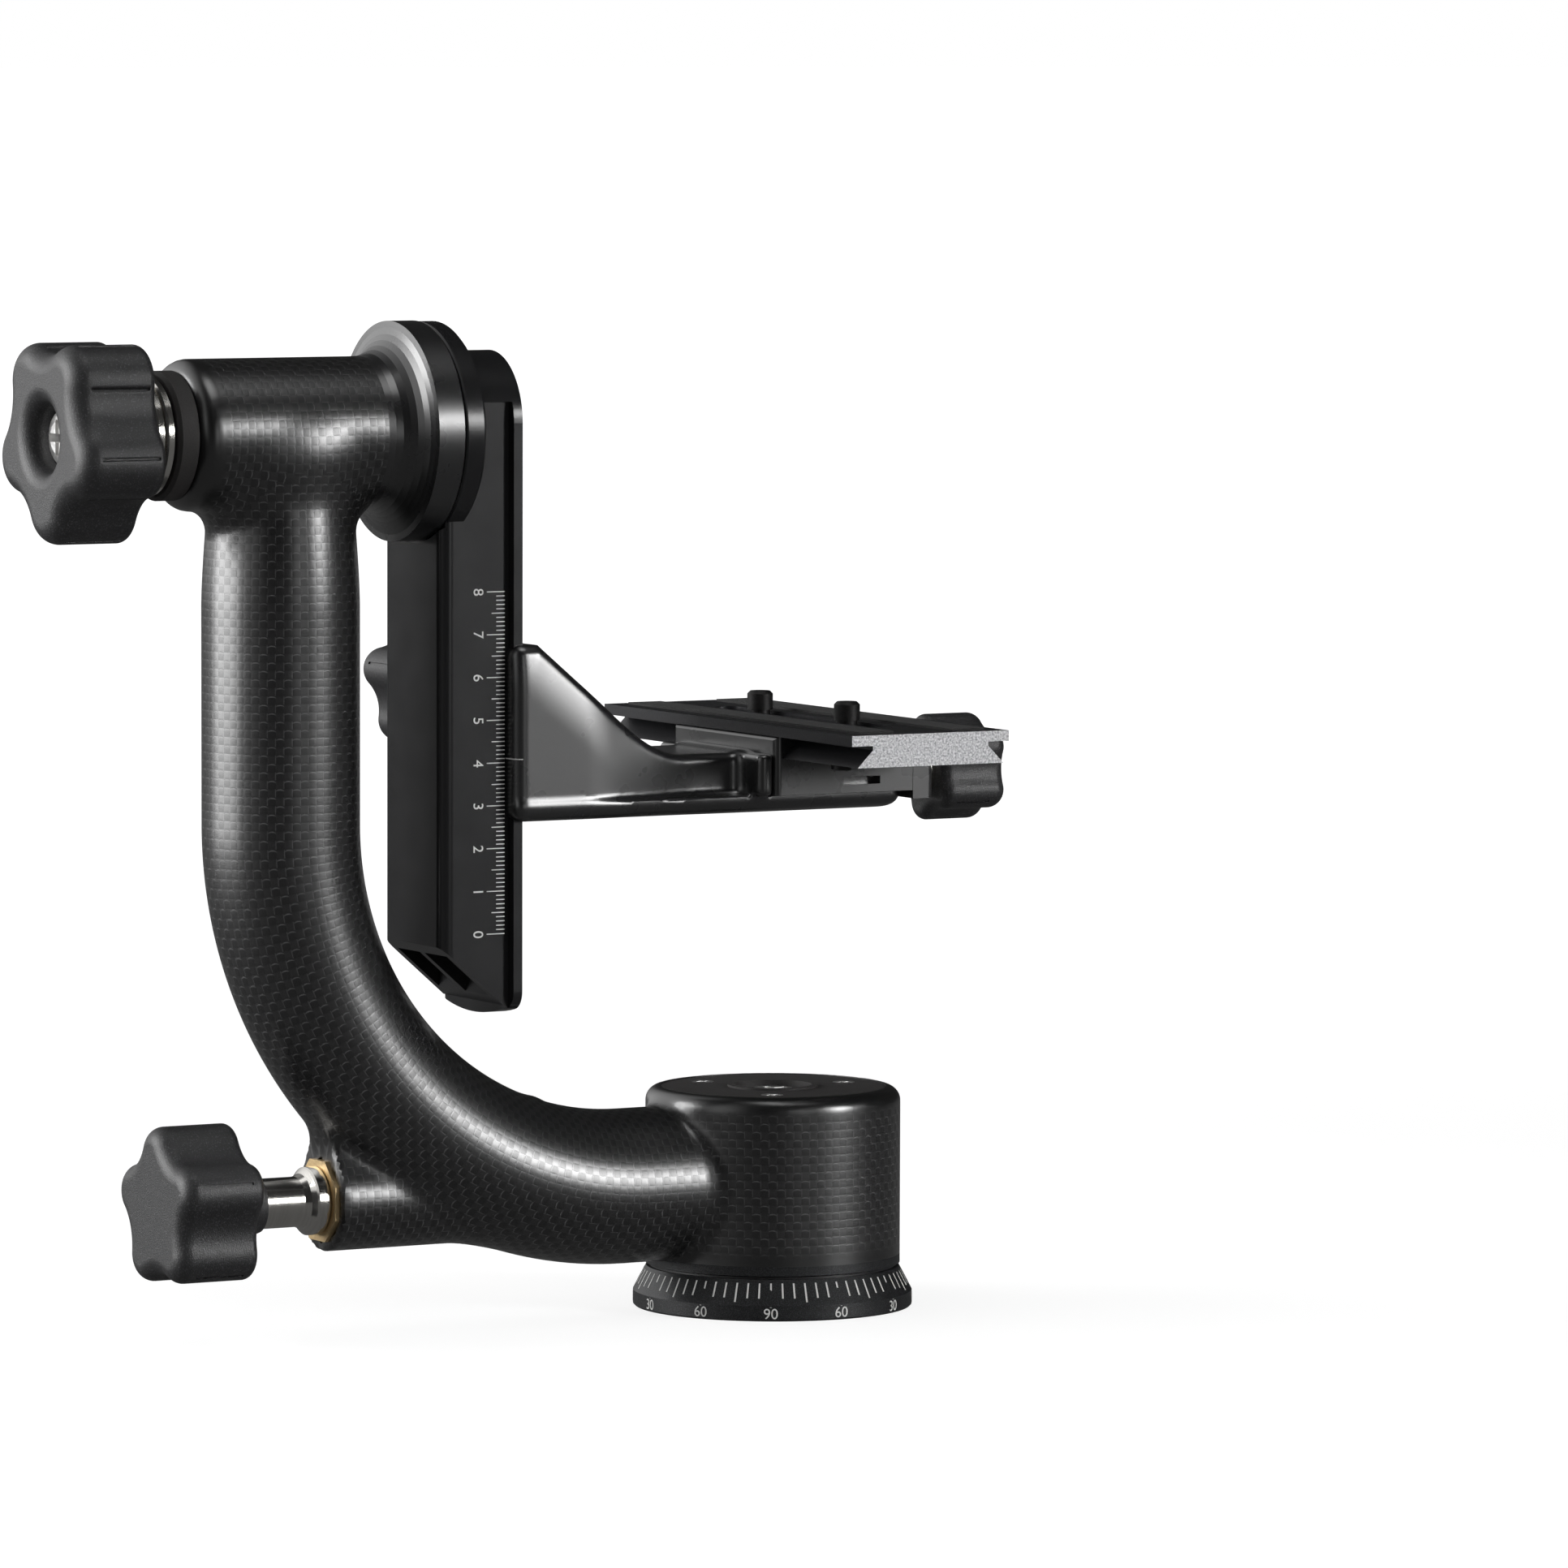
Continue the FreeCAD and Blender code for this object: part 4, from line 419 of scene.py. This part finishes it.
def cutter(radius, start, end, axis, sides=96):
    """A plain cylinder used only to cut, in millimetres along one axis."""
    shape = bmesh.new()
    bmesh.ops.create_cone(shape, cap_ends=True, segments=sides, radius1=radius / 1000,
                          radius2=radius / 1000, depth=(end - start) / 1000)
    mesh = bpy.data.meshes.new("cutter")
    shape.to_mesh(mesh)
    shape.free()
    made = bpy.data.objects.new("cutter", mesh)
    turns = {"X": (math.pi / 2, 4, "Y"), "Y": (-math.pi / 2, 4, "X"), "Z": (0, 4, "Z")}
    made.matrix_world = Matrix.Rotation(*turns[axis])
    made.data.transform(Matrix.Translation((0, 0, (start + end) / 2000)))
    bpy.context.scene.collection.objects.link(made)
    return made


def carve(piece, cutters):
    """Cuts the cutters out of the piece and throws them away."""
    for tool in cutters:
        cut = piece.modifiers.new("cut", "BOOLEAN")
        cut.operation, cut.object, cut.solver = "DIFFERENCE", tool, "EXACT"
    bpy.context.view_layer.update()
    graph = bpy.context.evaluated_depsgraph_get()
    mesh = bpy.data.meshes.new_from_object(piece.evaluated_get(graph), depsgraph=graph)
    piece.modifiers.clear()
    piece.data = mesh
    for tool in cutters:
        bpy.data.objects.remove(tool)


grid = 1.0
liner_hole, sleeve_hole, screw_hole, bush_radius, bush_seat = 27.04, 14.44, 6.64, 10.24, 0.72
points, quads = skin(arm_shape, (-163, -34, 0), (34, 34, 232), grid)
arm = mesh_object("carbon_arm_moulding", points / 1000, quads.tolist(), carbon)
tools = [cutter(liner_hole, housing_low - 9, 70, "Z"), cutter(60, -5, housing_low, "Z")]
for height, radius, start, end, sides in (
        (tilt_height, sleeve_hole, -170, -100, 96),
        (tilt_height, 40, sleeve_high, sleeve_high + 12, 96),
        (boss_height, screw_hole, -130, -20, 96),
        (boss_height, bush_radius, boss_end + bush_seat - 3, boss_end + bush_seat, 8)):
    tools.append(cutter(radius, start, end, "X", sides))
    tools[-1].location.z = height / 1000
carve(arm, tools)

mesh = arm.data
spots = np.zeros(len(mesh.vertices) * 3)
mesh.vertices.foreach_get("co", spots)
spots = spots.reshape(-1, 3) * 1000
loop_at = np.zeros(len(mesh.loops), int)
mesh.loops.foreach_get("vertex_index", loop_at)
sides_of = np.zeros(len(mesh.polygons), int)
mesh.polygons.foreach_get("loop_total", sides_of)
centres = np.zeros(len(mesh.polygons) * 3)
mesh.polygons.foreach_get("center", centres)
centres = centres.reshape(-1, 3) * 1000
face_of = np.repeat(np.arange(len(sides_of)), sides_of)
part_of = np.argmin([part(*centres.T) for part in (tube_part, sleeve_part, housing_part, boss_part)], 0)


def cloth(x, y, z, part):
    """Turns round the part's axis and millimetres along it, for each point."""
    arc = np.arctan2(bend_z - z, bend_x - x)   # 0 at the upright, a right angle at the level run
    reach = np.hypot(x - bend_x, z - bend_z)
    corner = (x < bend_x) & (z < bend_z)
    level = -bend_radius * math.pi / 2 - (x - bend_x)
    along_tube = np.where(corner, -bend_radius * arc, np.where(z >= bend_z, z - bend_z, level))
    straight = np.where(z >= bend_z, mast_x - x, tube_height - z)
    outward = [np.where(corner, reach - bend_radius, straight), z - tilt_height, x, z - boss_height]
    around = [np.arctan2(y, out) for out in outward]
    return np.choose(part, around) / (2 * math.pi), np.choose(part, [along_tube, x, z, x])


strands = np.array([60, 56, 98, 38])   # round the tube, the sleeve, the housing and the boss
face_turn, _ = cloth(*centres.T, part_of)
turn, along = cloth(*spots[loop_at].T, part_of[face_of])
turn -= np.round(turn - face_turn[face_of])                # a face across the seam stays in one piece
uv = np.stack([turn * strands[part_of[face_of]], along / cell], 1)
layer = mesh.uv_layers.new(name="cloth")
layer.data.foreach_set("uv", uv.astype(np.float32).ravel())
mesh.shade_smooth()
mesh.set_sharp_from_angle(angle=math.radians(40))
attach(arm, "pan_arm")
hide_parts("carbon_arm")
dress(steel, "housing_liner", "sleeve_liner", "tilt_bearing_outer_rings", "tilt_bearing_balls",
      "tilt_bearing_inner_rings")


# Top cap and tilt end cap: turned aluminium with a dead matte black finish. Three
# cross-recessed screws hold the top cap down on the liner.
def matte(place):
    fleck = place.grain(0.0003, 3)
    return {"Base_Color": fleck.colour((0.010, 0.009, 0.009), (0.030, 0.027, 0.026)),
            "Roughness": 0.62 + place.grain(0.01) * 0.12,
            "Normal": fleck.bump(0.00003)}


dress(finish("matte_black", matte), "top_cap", "tilt_end_cap")


def plated(place):
    scuff = place.grain(0.0008, 3)
    return {"Base_Color": scuff.colour((0.66, 0.66, 0.66), (0.90, 0.89, 0.87)),
            "Roughness": 0.24 + scuff * 0.20,
            "Normal": scuff.bump(0.00002)}


plated_screw = finish("plated_screw", plated, Metallic=1.0)
dress(plated_screw, "top_cap_screws", "spindle_screw")


# Pan lock: a polished steel screw in an eight-sided brass bush that is let into the
# arm's boss, with a brake pad behind it.
def brass_face(place):
    mark = place.grain(0.0005, 3)
    return {"Base_Color": mark.colour((0.62, 0.44, 0.22), (0.80, 0.62, 0.36)),
            "Roughness": 0.34 + mark * 0.16,
            "Normal": mark.bump(0.00002)}


brass = finish("machined_brass", brass_face, Metallic=0.9)
dress(brass, "pan_lock_bush", "tilt_knob_insert")


def polished(place):
    lines = place.grain(0.0003, 1, (1, 40, 40))
    return {"Base_Color": lines.colour((0.70, 0.68, 0.64), (0.86, 0.84, 0.80)),
            "Roughness": 0.10 + lines * 0.10}


polished_steel = finish("polished_steel", polished, Metallic=1.0)
dress(polished_steel, "pan_lock_screw", "rail_knob_stud", "clamp_screw", "tilt_thrust_washers",
      "rail_jaw_pins", "clamp_guide_pins")


def lining(place):
    return {"Base_Color": place.grain(0.0006, 3).colour((0.14, 0.10, 0.07), (0.30, 0.24, 0.18)),
            "Roughness": 0.7 + place.grain(0.001) * 0.2}


friction_lining = finish("friction_lining", lining)
dress(friction_lining, "pan_brake_pad", "tilt_friction_washer")


# Lock knobs: five-lobed mouldings of charcoal nylon with a fine spark-eroded grain.
def moulded(place):
    spark = place.grain(0.00030, 3)
    # Painted sparkle: bright specks in the base colour stand in for the spark-eroded grain catching the
    # light.
    painted_sparkle = place.grain(0.00036, 1).ramp((0.58, 0), (0.70, 1))
    return {"Base_Color": painted_sparkle.colour((0.012, 0.012, 0.013), (0.055, 0.055, 0.058)),
            "Roughness": 0.40 + spark * 0.14,
            "Normal": spark.bump(0.00008)}


nylon = finish("knob_nylon", moulded, IOR=1.6)
dress(nylon, "pan_knob", "pan_knob_hub", "rail_knob", "clamp_knob")
dress(plated_screw, "tilt_knob_screw")

# The tilt knob is the widest of them. Its rims are soft, a funnel leads down to the screw
# and two fine slits run along every lobe.
knob_back, knob_length, lobe_middle, lobe_radius = -171.5, 21.5, 15.7, 8.8
hollow_middle, hollow_radius, half_step = 31.9, 12.5, math.pi / 5
recess_radius, recess_floor, insert_radius = 7.8, 13.5, 7.54
lobe_turn = math.radians(36)           # the valley between two lobes stands upright
slit_turns = math.radians(-8), math.radians(21)
slit_depth, slit_half_width, slit_middle, slit_half_length = 0.7, 0.33, 9.3, 7.4
front_round, back_round, funnel_round = 5.0, 2.4, 4.2


def knob_shape(x, y, z):
    along, up = knob_back - x, z - tilt_height
    reach = np.hypot(y, up)
    turn = np.arctan2(-y, up) - lobe_turn
    turn = (turn + half_step) % (2 * half_step) - half_step
    beside_slit = reach * np.min([np.abs(np.sin(turn - slit)) for slit in slit_turns], 0)
    a, b = reach * np.cos(turn), reach * np.abs(np.sin(turn))
    hollow_a = hollow_middle * math.cos(half_step)
    hollow_b = hollow_middle * math.sin(half_step)
    on_lobe = (hollow_a - lobe_middle) * b - hollow_b * (a - lobe_middle) < 0
    star = np.where(on_lobe, np.hypot(a - lobe_middle, b) - lobe_radius,
                    hollow_radius - np.hypot(a - hollow_a, b - hollow_b))
    body = round_both(star, along - knob_length, front_round)
    body = round_both(body, -along, back_round)
    slit = np.maximum(-slit_depth - star, beside_slit - slit_half_width)
    slit = np.maximum(slit, np.abs(along - slit_middle) - slit_half_length)
    body = np.maximum(body, -slit)
    return round_both(body, np.minimum(recess_radius - reach, along - recess_floor), funnel_round)


points, quads = skin(knob_shape, (-194.2, -26, 185), (-170.2, 26, 237), 0.36)
knob = mesh_object("tilt_knob_moulding", points / 1000, quads.tolist(), nylon)
socket = cutter(insert_radius, -195, -165, "X")
socket.location.z = tilt_height / 1000
carve(knob, [socket])
knob.data.shade_smooth()
knob.data.set_sharp_from_angle(angle=math.radians(40))
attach(knob, "tilt_lock")
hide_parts("tilt_knob")


# Flange on the sleeve, bracket, jaws and clamp: aluminium castings, machined where they
# bear, with a satin black anodised finish.
def cast(place):
    peel = place.grain(0.0009, 3)
    return {"Base_Color": peel.colour((0.004, 0.004, 0.0044), (0.010, 0.010, 0.011)),
            "Roughness": 0.25 + place.grain(0.006) * 0.06,
            "Normal": peel.bump(0.000007)}


cast_black = finish("cast_black", cast, IOR=1.7, Coat_Weight=1.0, Coat_Roughness=0.30)
dress(cast_black, "sleeve_flange", "rail_jaw", "clamp_body", "moving_jaw")

# Platform bracket: one casting, its wall crowned towards the sloping edge, with a waist,
# a pocket and a lug before the clamp. It hooks round the front edge of the rail.
bracket_left, bracket_right, bracket_low = -80.15, 23.3, 120.0
platform_high, lug_high, lug_left, lug_right, lug_half = 124.3, 134.0, -17.9, -13.7, 25.0
wall_half, pocket_half, waist_from, waist_to = 20.0, 15.5, -69.6, -25.9
crown_width, slope_round, end_round = 11.5, 2.2, 3.0
wall_outline = [(-120, 161.3), (-73.2, 161.3), (-71.9, 160.2), (-65.7, 155.0), (-57.3, 148.0),
                (-49.7, 141.7), (-47.3, 139.9), (-44.7, 138.1), (-42.7, 136.9), (-40.4, 135.8),
                (-38.0, 134.9), (-35.6, 134.3), (-33.1, 134.0), (40, 134.0), (40, 60), (-120, 60)]


def outline(x, y, corners):
    """Distance to a polygon, less than 0 inside it."""
    near, inside = np.full(np.shape(x), 1e9), np.zeros(np.shape(x), bool)
    for (ax, ay), (bx, by) in zip(corners, corners[1:] + corners[:1]):
        dot = (x - ax) * (bx - ax) + (y - ay) * (by - ay)
        along = np.clip(dot / ((bx - ax) ** 2 + (by - ay) ** 2), 0, 1)
        near = np.minimum(near, np.hypot(x - ax - along * (bx - ax), y - ay - along * (by - ay)))
        if by != ay:
            inside ^= ((ay > y) != (by > y)) & (x < (bx - ax) * (y - ay) / (by - ay) + ax)
    return np.where(inside, -near, near)


def crowned(a, b, reach):
    """What is inside both, the edge between them worn away over that reach."""
    return np.maximum(a, b) + np.maximum(reach - np.abs(a - b), 0) ** 2 / (4 * reach)


def eased(x, start, end):
    share = np.clip((x - start) / (end - start), 0, 1)
    return share * share * (3 - 2 * share)


def bracket_shape(x, y, z):
    side = np.abs(y)
    half = wall_half - (wall_half - pocket_half) * eased(x, waist_from + 8, waist_to)
    edge = outline(x, z, wall_outline)
    fall = 0.0072 * np.maximum(crown_width + edge, 0) ** 2 * (1 - eased(x, -54, -38))
    wall = round_both(side - half + fall, edge, slope_round)
    wall = round_both(wall, x - lug_right + 1, 1.0)
    lug = np.abs(x - (lug_left + lug_right) / 2) - (lug_right - lug_left) / 2
    lug = round_both(lug, side - lug_half, 2.0)
    lug = round_both(lug, np.maximum(z - lug_high, platform_high - z), 1.0)
    flat = wall_half + 1.5 * eased(x, waist_from, lug_left)
    slab = round_both(side - flat, z - platform_high, 0.9)
    slab = crowned(slab, x - bracket_right, end_round)
    whole = round_union(round_union(wall, lug, 2.6), slab, 1.4)
    whole = crowned(whole, bracket_low - z, 4.2)
    return round_both(whole, bracket_left - x, end_round)


def prism(corners, low, high):
    """A plain upright prism used only to cut, in millimetres."""
    n = len(corners)
    points = [(x / 1000, y / 1000, z / 1000) for z in (low, high) for x, y in corners]
    sides = [list(range(n))[::-1], list(range(n, 2 * n))]
    sides += [(i, (i + 1) % n, n + (i + 1) % n, n + i) for i in range(n)]
    return mesh_object("cutter", points, sides, None)


rail_space = [(-76.6, 40), (-90, 40), (-90, -14.5), (-79.3, -14.5), (-79.1, -16.7), (-76.6, -16.7)]
jaw_space = [(-90, 17), (-46.6, 17), (-46.6, 40), (-90, 40)]
pin_hole, stud_hole, screw_head_hole, screw_shank_hole = 1.54, 3.95, 3.24, 1.64
grid = 0.8
points, quads = skin(bracket_shape, (-83, -28, 117), (27, 28, 165), grid)
bracket = mesh_object("bracket_casting", points / 1000, quads.tolist(), cast_black)
tools = [prism(rail_space, 110, 170), prism(jaw_space, 110, 170)]
for x, z, radius, start in ((-71.6, 139.3, pin_hole, 8.1), (-71.6, 157.3, pin_hole, 8.1),
                            (-67.1, 148.3, stud_hole, -1.4)):
    bore = cutter(radius, start, 18, "Y")
    bore.location.x, bore.location.z = x / 1000, z / 1000
    tools.append(bore)
for x in (0, 16):
    for y in (-11, 11):
        for radius, high in ((screw_head_hole, 122.2), (screw_shank_hole, 126)):
            bore = cutter(radius, 118, high, "Z", 32)
            bore.location.x, bore.location.y = x / 1000, y / 1000
            tools.append(bore)
carve(bracket, tools)
bracket.data.shade_smooth()
bracket.data.set_sharp_from_angle(angle=math.radians(40))
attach(bracket, "bracket")
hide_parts("platform_bracket")

# A white index line runs round the hook beside the ruler.
corners, faces = [], []
hook_x, hook_y, hook_round, index_height = -77.15, -17.0, 3.0, 134.8
for out in (-0.05, 0.05):
    reach = hook_round + out
    turns = [(-reach, 2.4)]
    turns += [(-reach * math.cos(t), -reach * math.sin(t)) for t in np.linspace(0, 1.2, 8)]
    corners += [((hook_x + x) / 1000, (hook_y + y) / 1000, (index_height + z) / 1000)
                for z in (-0.12, 0.12) for x, y in turns]
n = len(corners) // 4                 # inner low, inner high, outer low, outer high
for i in range(n - 1):
    faces += [(2 * n + i, 2 * n + i + 1, 3 * n + i + 1, 3 * n + i), (i, n + i, n + i + 1, i + 1),
              (n + i, 3 * n + i, 3 * n + i + 1, n + i + 1), (i, i + 1, 2 * n + i + 1, 2 * n + i)]
faces += [(0, 2 * n, 3 * n, n), (n - 1, 2 * n - 1, 4 * n - 1, 3 * n - 1)]
index = mesh_object("index_line", corners, faces, white_paint)
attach(index, "bracket")


# Swing arm: a casting in charcoal grey, with the grooved rail machined on its inner
# face. The tilt spindle and the hub bolt hold it on the sleeve.
def charcoal(place):
    peel = place.grain(0.0007, 3)
    return {"Base_Color": peel.colour((0.0065, 0.0065, 0.007), (0.014, 0.014, 0.015)),
            "Roughness": 0.20 + place.grain(0.008) * 0.06,
            "Normal": peel.bump(0.000008)}


swing_grey = finish("swing_grey", charcoal)
dress(swing_grey, "swing_arm")
dress(steel, "tilt_spindle")


def oxide(place):
    return {"Base_Color": place.grain(0.0006, 3).colour((0.010, 0.010, 0.011), (0.035, 0.034, 0.033)),
            "Roughness": 0.38 + place.grain(0.0004) * 0.2}


black_oxide = finish("black_oxide", oxide, Metallic=0.8)
dress(black_oxide, "hub_bolt", "clamp_body_screws", "plate_stop_screws", "foot_screws")

ruler_face, ruler_end, ruler_zero, ruler_figures = -0.0150, -0.0806, 0.0938, -0.0875
corners, faces = [], []
for mark in range(81):
    length = 0.0047 if mark % 10 == 0 else 0.0034 if mark % 5 == 0 else 0.0022
    z = ruler_zero + mark / 1000
    ring = [(ruler_end - length, z - 0.00011), (ruler_end, z - 0.00011), (ruler_end, z + 0.00011),
            (ruler_end - length, z + 0.00011)]
    add([(a, ruler_face + side, b) for side in (paint, -paint) for a, b in ring], box_faces)
    if mark % 10 == 0:
        points, sides = figures(str(mark // 10), 0.0026, 2 * paint)
        add([(ruler_figures + y, ruler_face - d, z - x) for x, y, d in points], sides)
ruler = mesh_object("ruler", corners, faces, white_paint)
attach(ruler, "swing")


# Lens plate: an extruded aluminium bar, black anodised, then sawn and blasted at both
# ends, so that these show raw metal. Two ribbed rubber strips lie in its top.
def plate_skin(place):
    x, y, z = place.parts()
    raw = (y.math("ABSOLUTE") * 1000).ramp_between(60.40, 60.44)
    fleck = place.grain(0.00055, 3)
    black = fleck.colour((0.016, 0.016, 0.018), (0.034, 0.034, 0.037))
    blasted = place.grain(0.00050, 1).ramp((0.3, 0), (0.7, 1))
    silver = blasted.colour((0.24, 0.24, 0.25), (0.66, 0.66, 0.67))
    return {"Base_Color": raw.node("Mix", {"data_type": "RGBA"}, {0: raw, 6: black, 7: silver}, 2),
            "Roughness": 0.36 + raw * 0.12 + fleck * 0.08,
            "Normal": fleck.bump(0.00004)}


dress(finish("plate_anodised", plate_skin, Metallic=0.5), "lens_plate")


def rubber(place):
    return {"Base_Color": place.grain(0.0004, 3).colour((0.012, 0.012, 0.012), (0.030, 0.030, 0.030)),
            "Roughness": 0.75 + place.grain(0.001) * 0.15,
            "Normal": place.grain(0.0003).bump(0.00004)}


dress(finish("grip_rubber", rubber), "plate_grip_strips")


# Studio: a white floor that keeps the object's shadow, white round the back and the left
# for everything that mirrors it, and soft lamps at the left, the right and above.
floor_half = 40.0
floor_corners = [(x * floor_half, y * floor_half, 0) for x, y in ((-1, -1), (1, -1), (1, 1), (-1, 1))]
floor_mesh = bpy.data.meshes.new("floor")
floor_mesh.from_pydata(floor_corners, [], [(0, 1, 2, 3)])
floor = bpy.data.objects.new("floor", floor_mesh)
bpy.context.scene.collection.objects.link(floor)
sweep = bpy.data.materials.new("white_sweep")
sweep.use_nodes = True
tree = sweep.node_tree
tree.nodes.remove(tree.nodes["Principled BSDF"])
start = Value(tree, tree.nodes.new("ShaderNodeTexCoord").outputs["Object"])
shown = start.node("LightPath")
shown = Value(tree, shown.socket.node.outputs["Is Camera Ray"])
far_off = start.node("VectorMath", {"operation": "LENGTH"}, {0: start}, 1).ramp_between(0.4, 1.6)
strength = shown * (far_off * 0.28 + 0.72) + 0.06
glow = start.node("Emission", (), {"Color": (1, 1, 1, 1), "Strength": strength})
reflected = Value(tree, shown.socket.node.outputs["Is Glossy Ray"])
paper = reflected.colour((0.35, 0.35, 0.35), (0.05, 0.05, 0.05))     # dark in the black parts' gloss
matt = start.node("BsdfDiffuse", (), {"Color": paper})
both = start.node("AddShader", (), {0: glow, 1: matt})
tree.links.new(both.socket, tree.nodes["Material Output"].inputs["Surface"])
floor_mesh.materials.append(sweep)

world = bpy.data.worlds.new("studio")
bpy.context.scene.world = world
world.use_nodes = True
tree = world.node_tree
start = Value(tree, tree.nodes.new("ShaderNodeTexCoord").outputs["Generated"])
ray = start.node("LightPath").socket.node.outputs
seen, mirrored = Value(tree, ray["Is Camera Ray"]), Value(tree, ray["Is Glossy Ray"])
behind = start.node("VectorMath", {"operation": "DOT_PRODUCT"}, {0: start, 1: (-0.80, 0.60, 0.0)}, 1)
white_side = behind.ramp_between(0.25, 0.9)
plain = mirrored * (white_side * 1.3 + 0.018 - 0.3) + 0.3
level = plain + seen * (1 - plain)
tree.links.new(level.socket, tree.nodes["Background"].inputs["Strength"])
tree.nodes["Background"].inputs["Color"].default_value = (1, 1, 1, 1)

# name, aim, azimuth, elevation, distance, width, height, spread, watts
lamps = (
    ("key_softbox", (0.03, 0, -0.02), 35, 13, 1.4, 0.70, 0.64, 24, 0.76),
    ("left_softbox", (-0.13, 0, 0.12), -115, 8, 1.3, 1.1, 1.3, 180, 27),
    ("front_fill", (-0.1, 0, 0.17), 0, 5, 1.5, 0.3, 0.5, 180, 0.7),
    ("overhead", (-0.06, 0, 0.12), 10, 75, 1.2, 0.6, 0.6, 180, 2.6))
for name, aim, azimuth, elevation, distance, width, height, spread, watts in lamps:
    lamp = bpy.data.lights.new(name, "AREA")
    lamp.shape, lamp.size, lamp.size_y, lamp.energy = "RECTANGLE", width, height, watts
    lamp.spread = math.radians(spread)
    a, e = math.radians(azimuth), math.radians(elevation)
    back = Vector((math.sin(a) * math.cos(e), -math.cos(a) * math.cos(e), math.sin(e)))
    holder = bpy.data.objects.new(name, lamp)
    facing = back.to_track_quat("Z", "Y").to_matrix().to_4x4()
    holder.matrix_world = Matrix.Translation(Vector(aim) + back * distance) @ facing
    bpy.context.scene.collection.objects.link(holder)

# Camera: stands in front and to the left, a little above the clamp, far back with a long lens.
turn, tilt, roll = math.radians(29.5), math.radians(4.486), 0.003
focal, distance, centre, foot = 12250, 2.3825, 966, (951.5, 1606)
ahead = Vector((math.sin(turn) * math.cos(tilt), math.cos(turn) * math.cos(tilt), -math.sin(tilt)))
right = Vector((math.cos(turn), -math.sin(turn), 0))
up = right.cross(ahead)
right, up = right * math.cos(roll) + up * math.sin(roll), up * math.cos(roll) - right * math.sin(roll)
place = -distance * (ahead + right * (foot[0] - centre) / focal - up * (foot[1] - centre) / focal)
camera = bpy.data.objects.new("camera", bpy.data.cameras.new("camera"))
camera.data.sensor_width = 36
camera.data.lens = focal / (2 * centre) * 36
camera.matrix_world = Matrix.Translation(place) @ Matrix((right, up, -ahead)).transposed().to_4x4()
bpy.context.scene.collection.objects.link(camera)
bpy.context.scene.camera = camera
bpy.context.scene.view_settings.view_transform = "Standard"
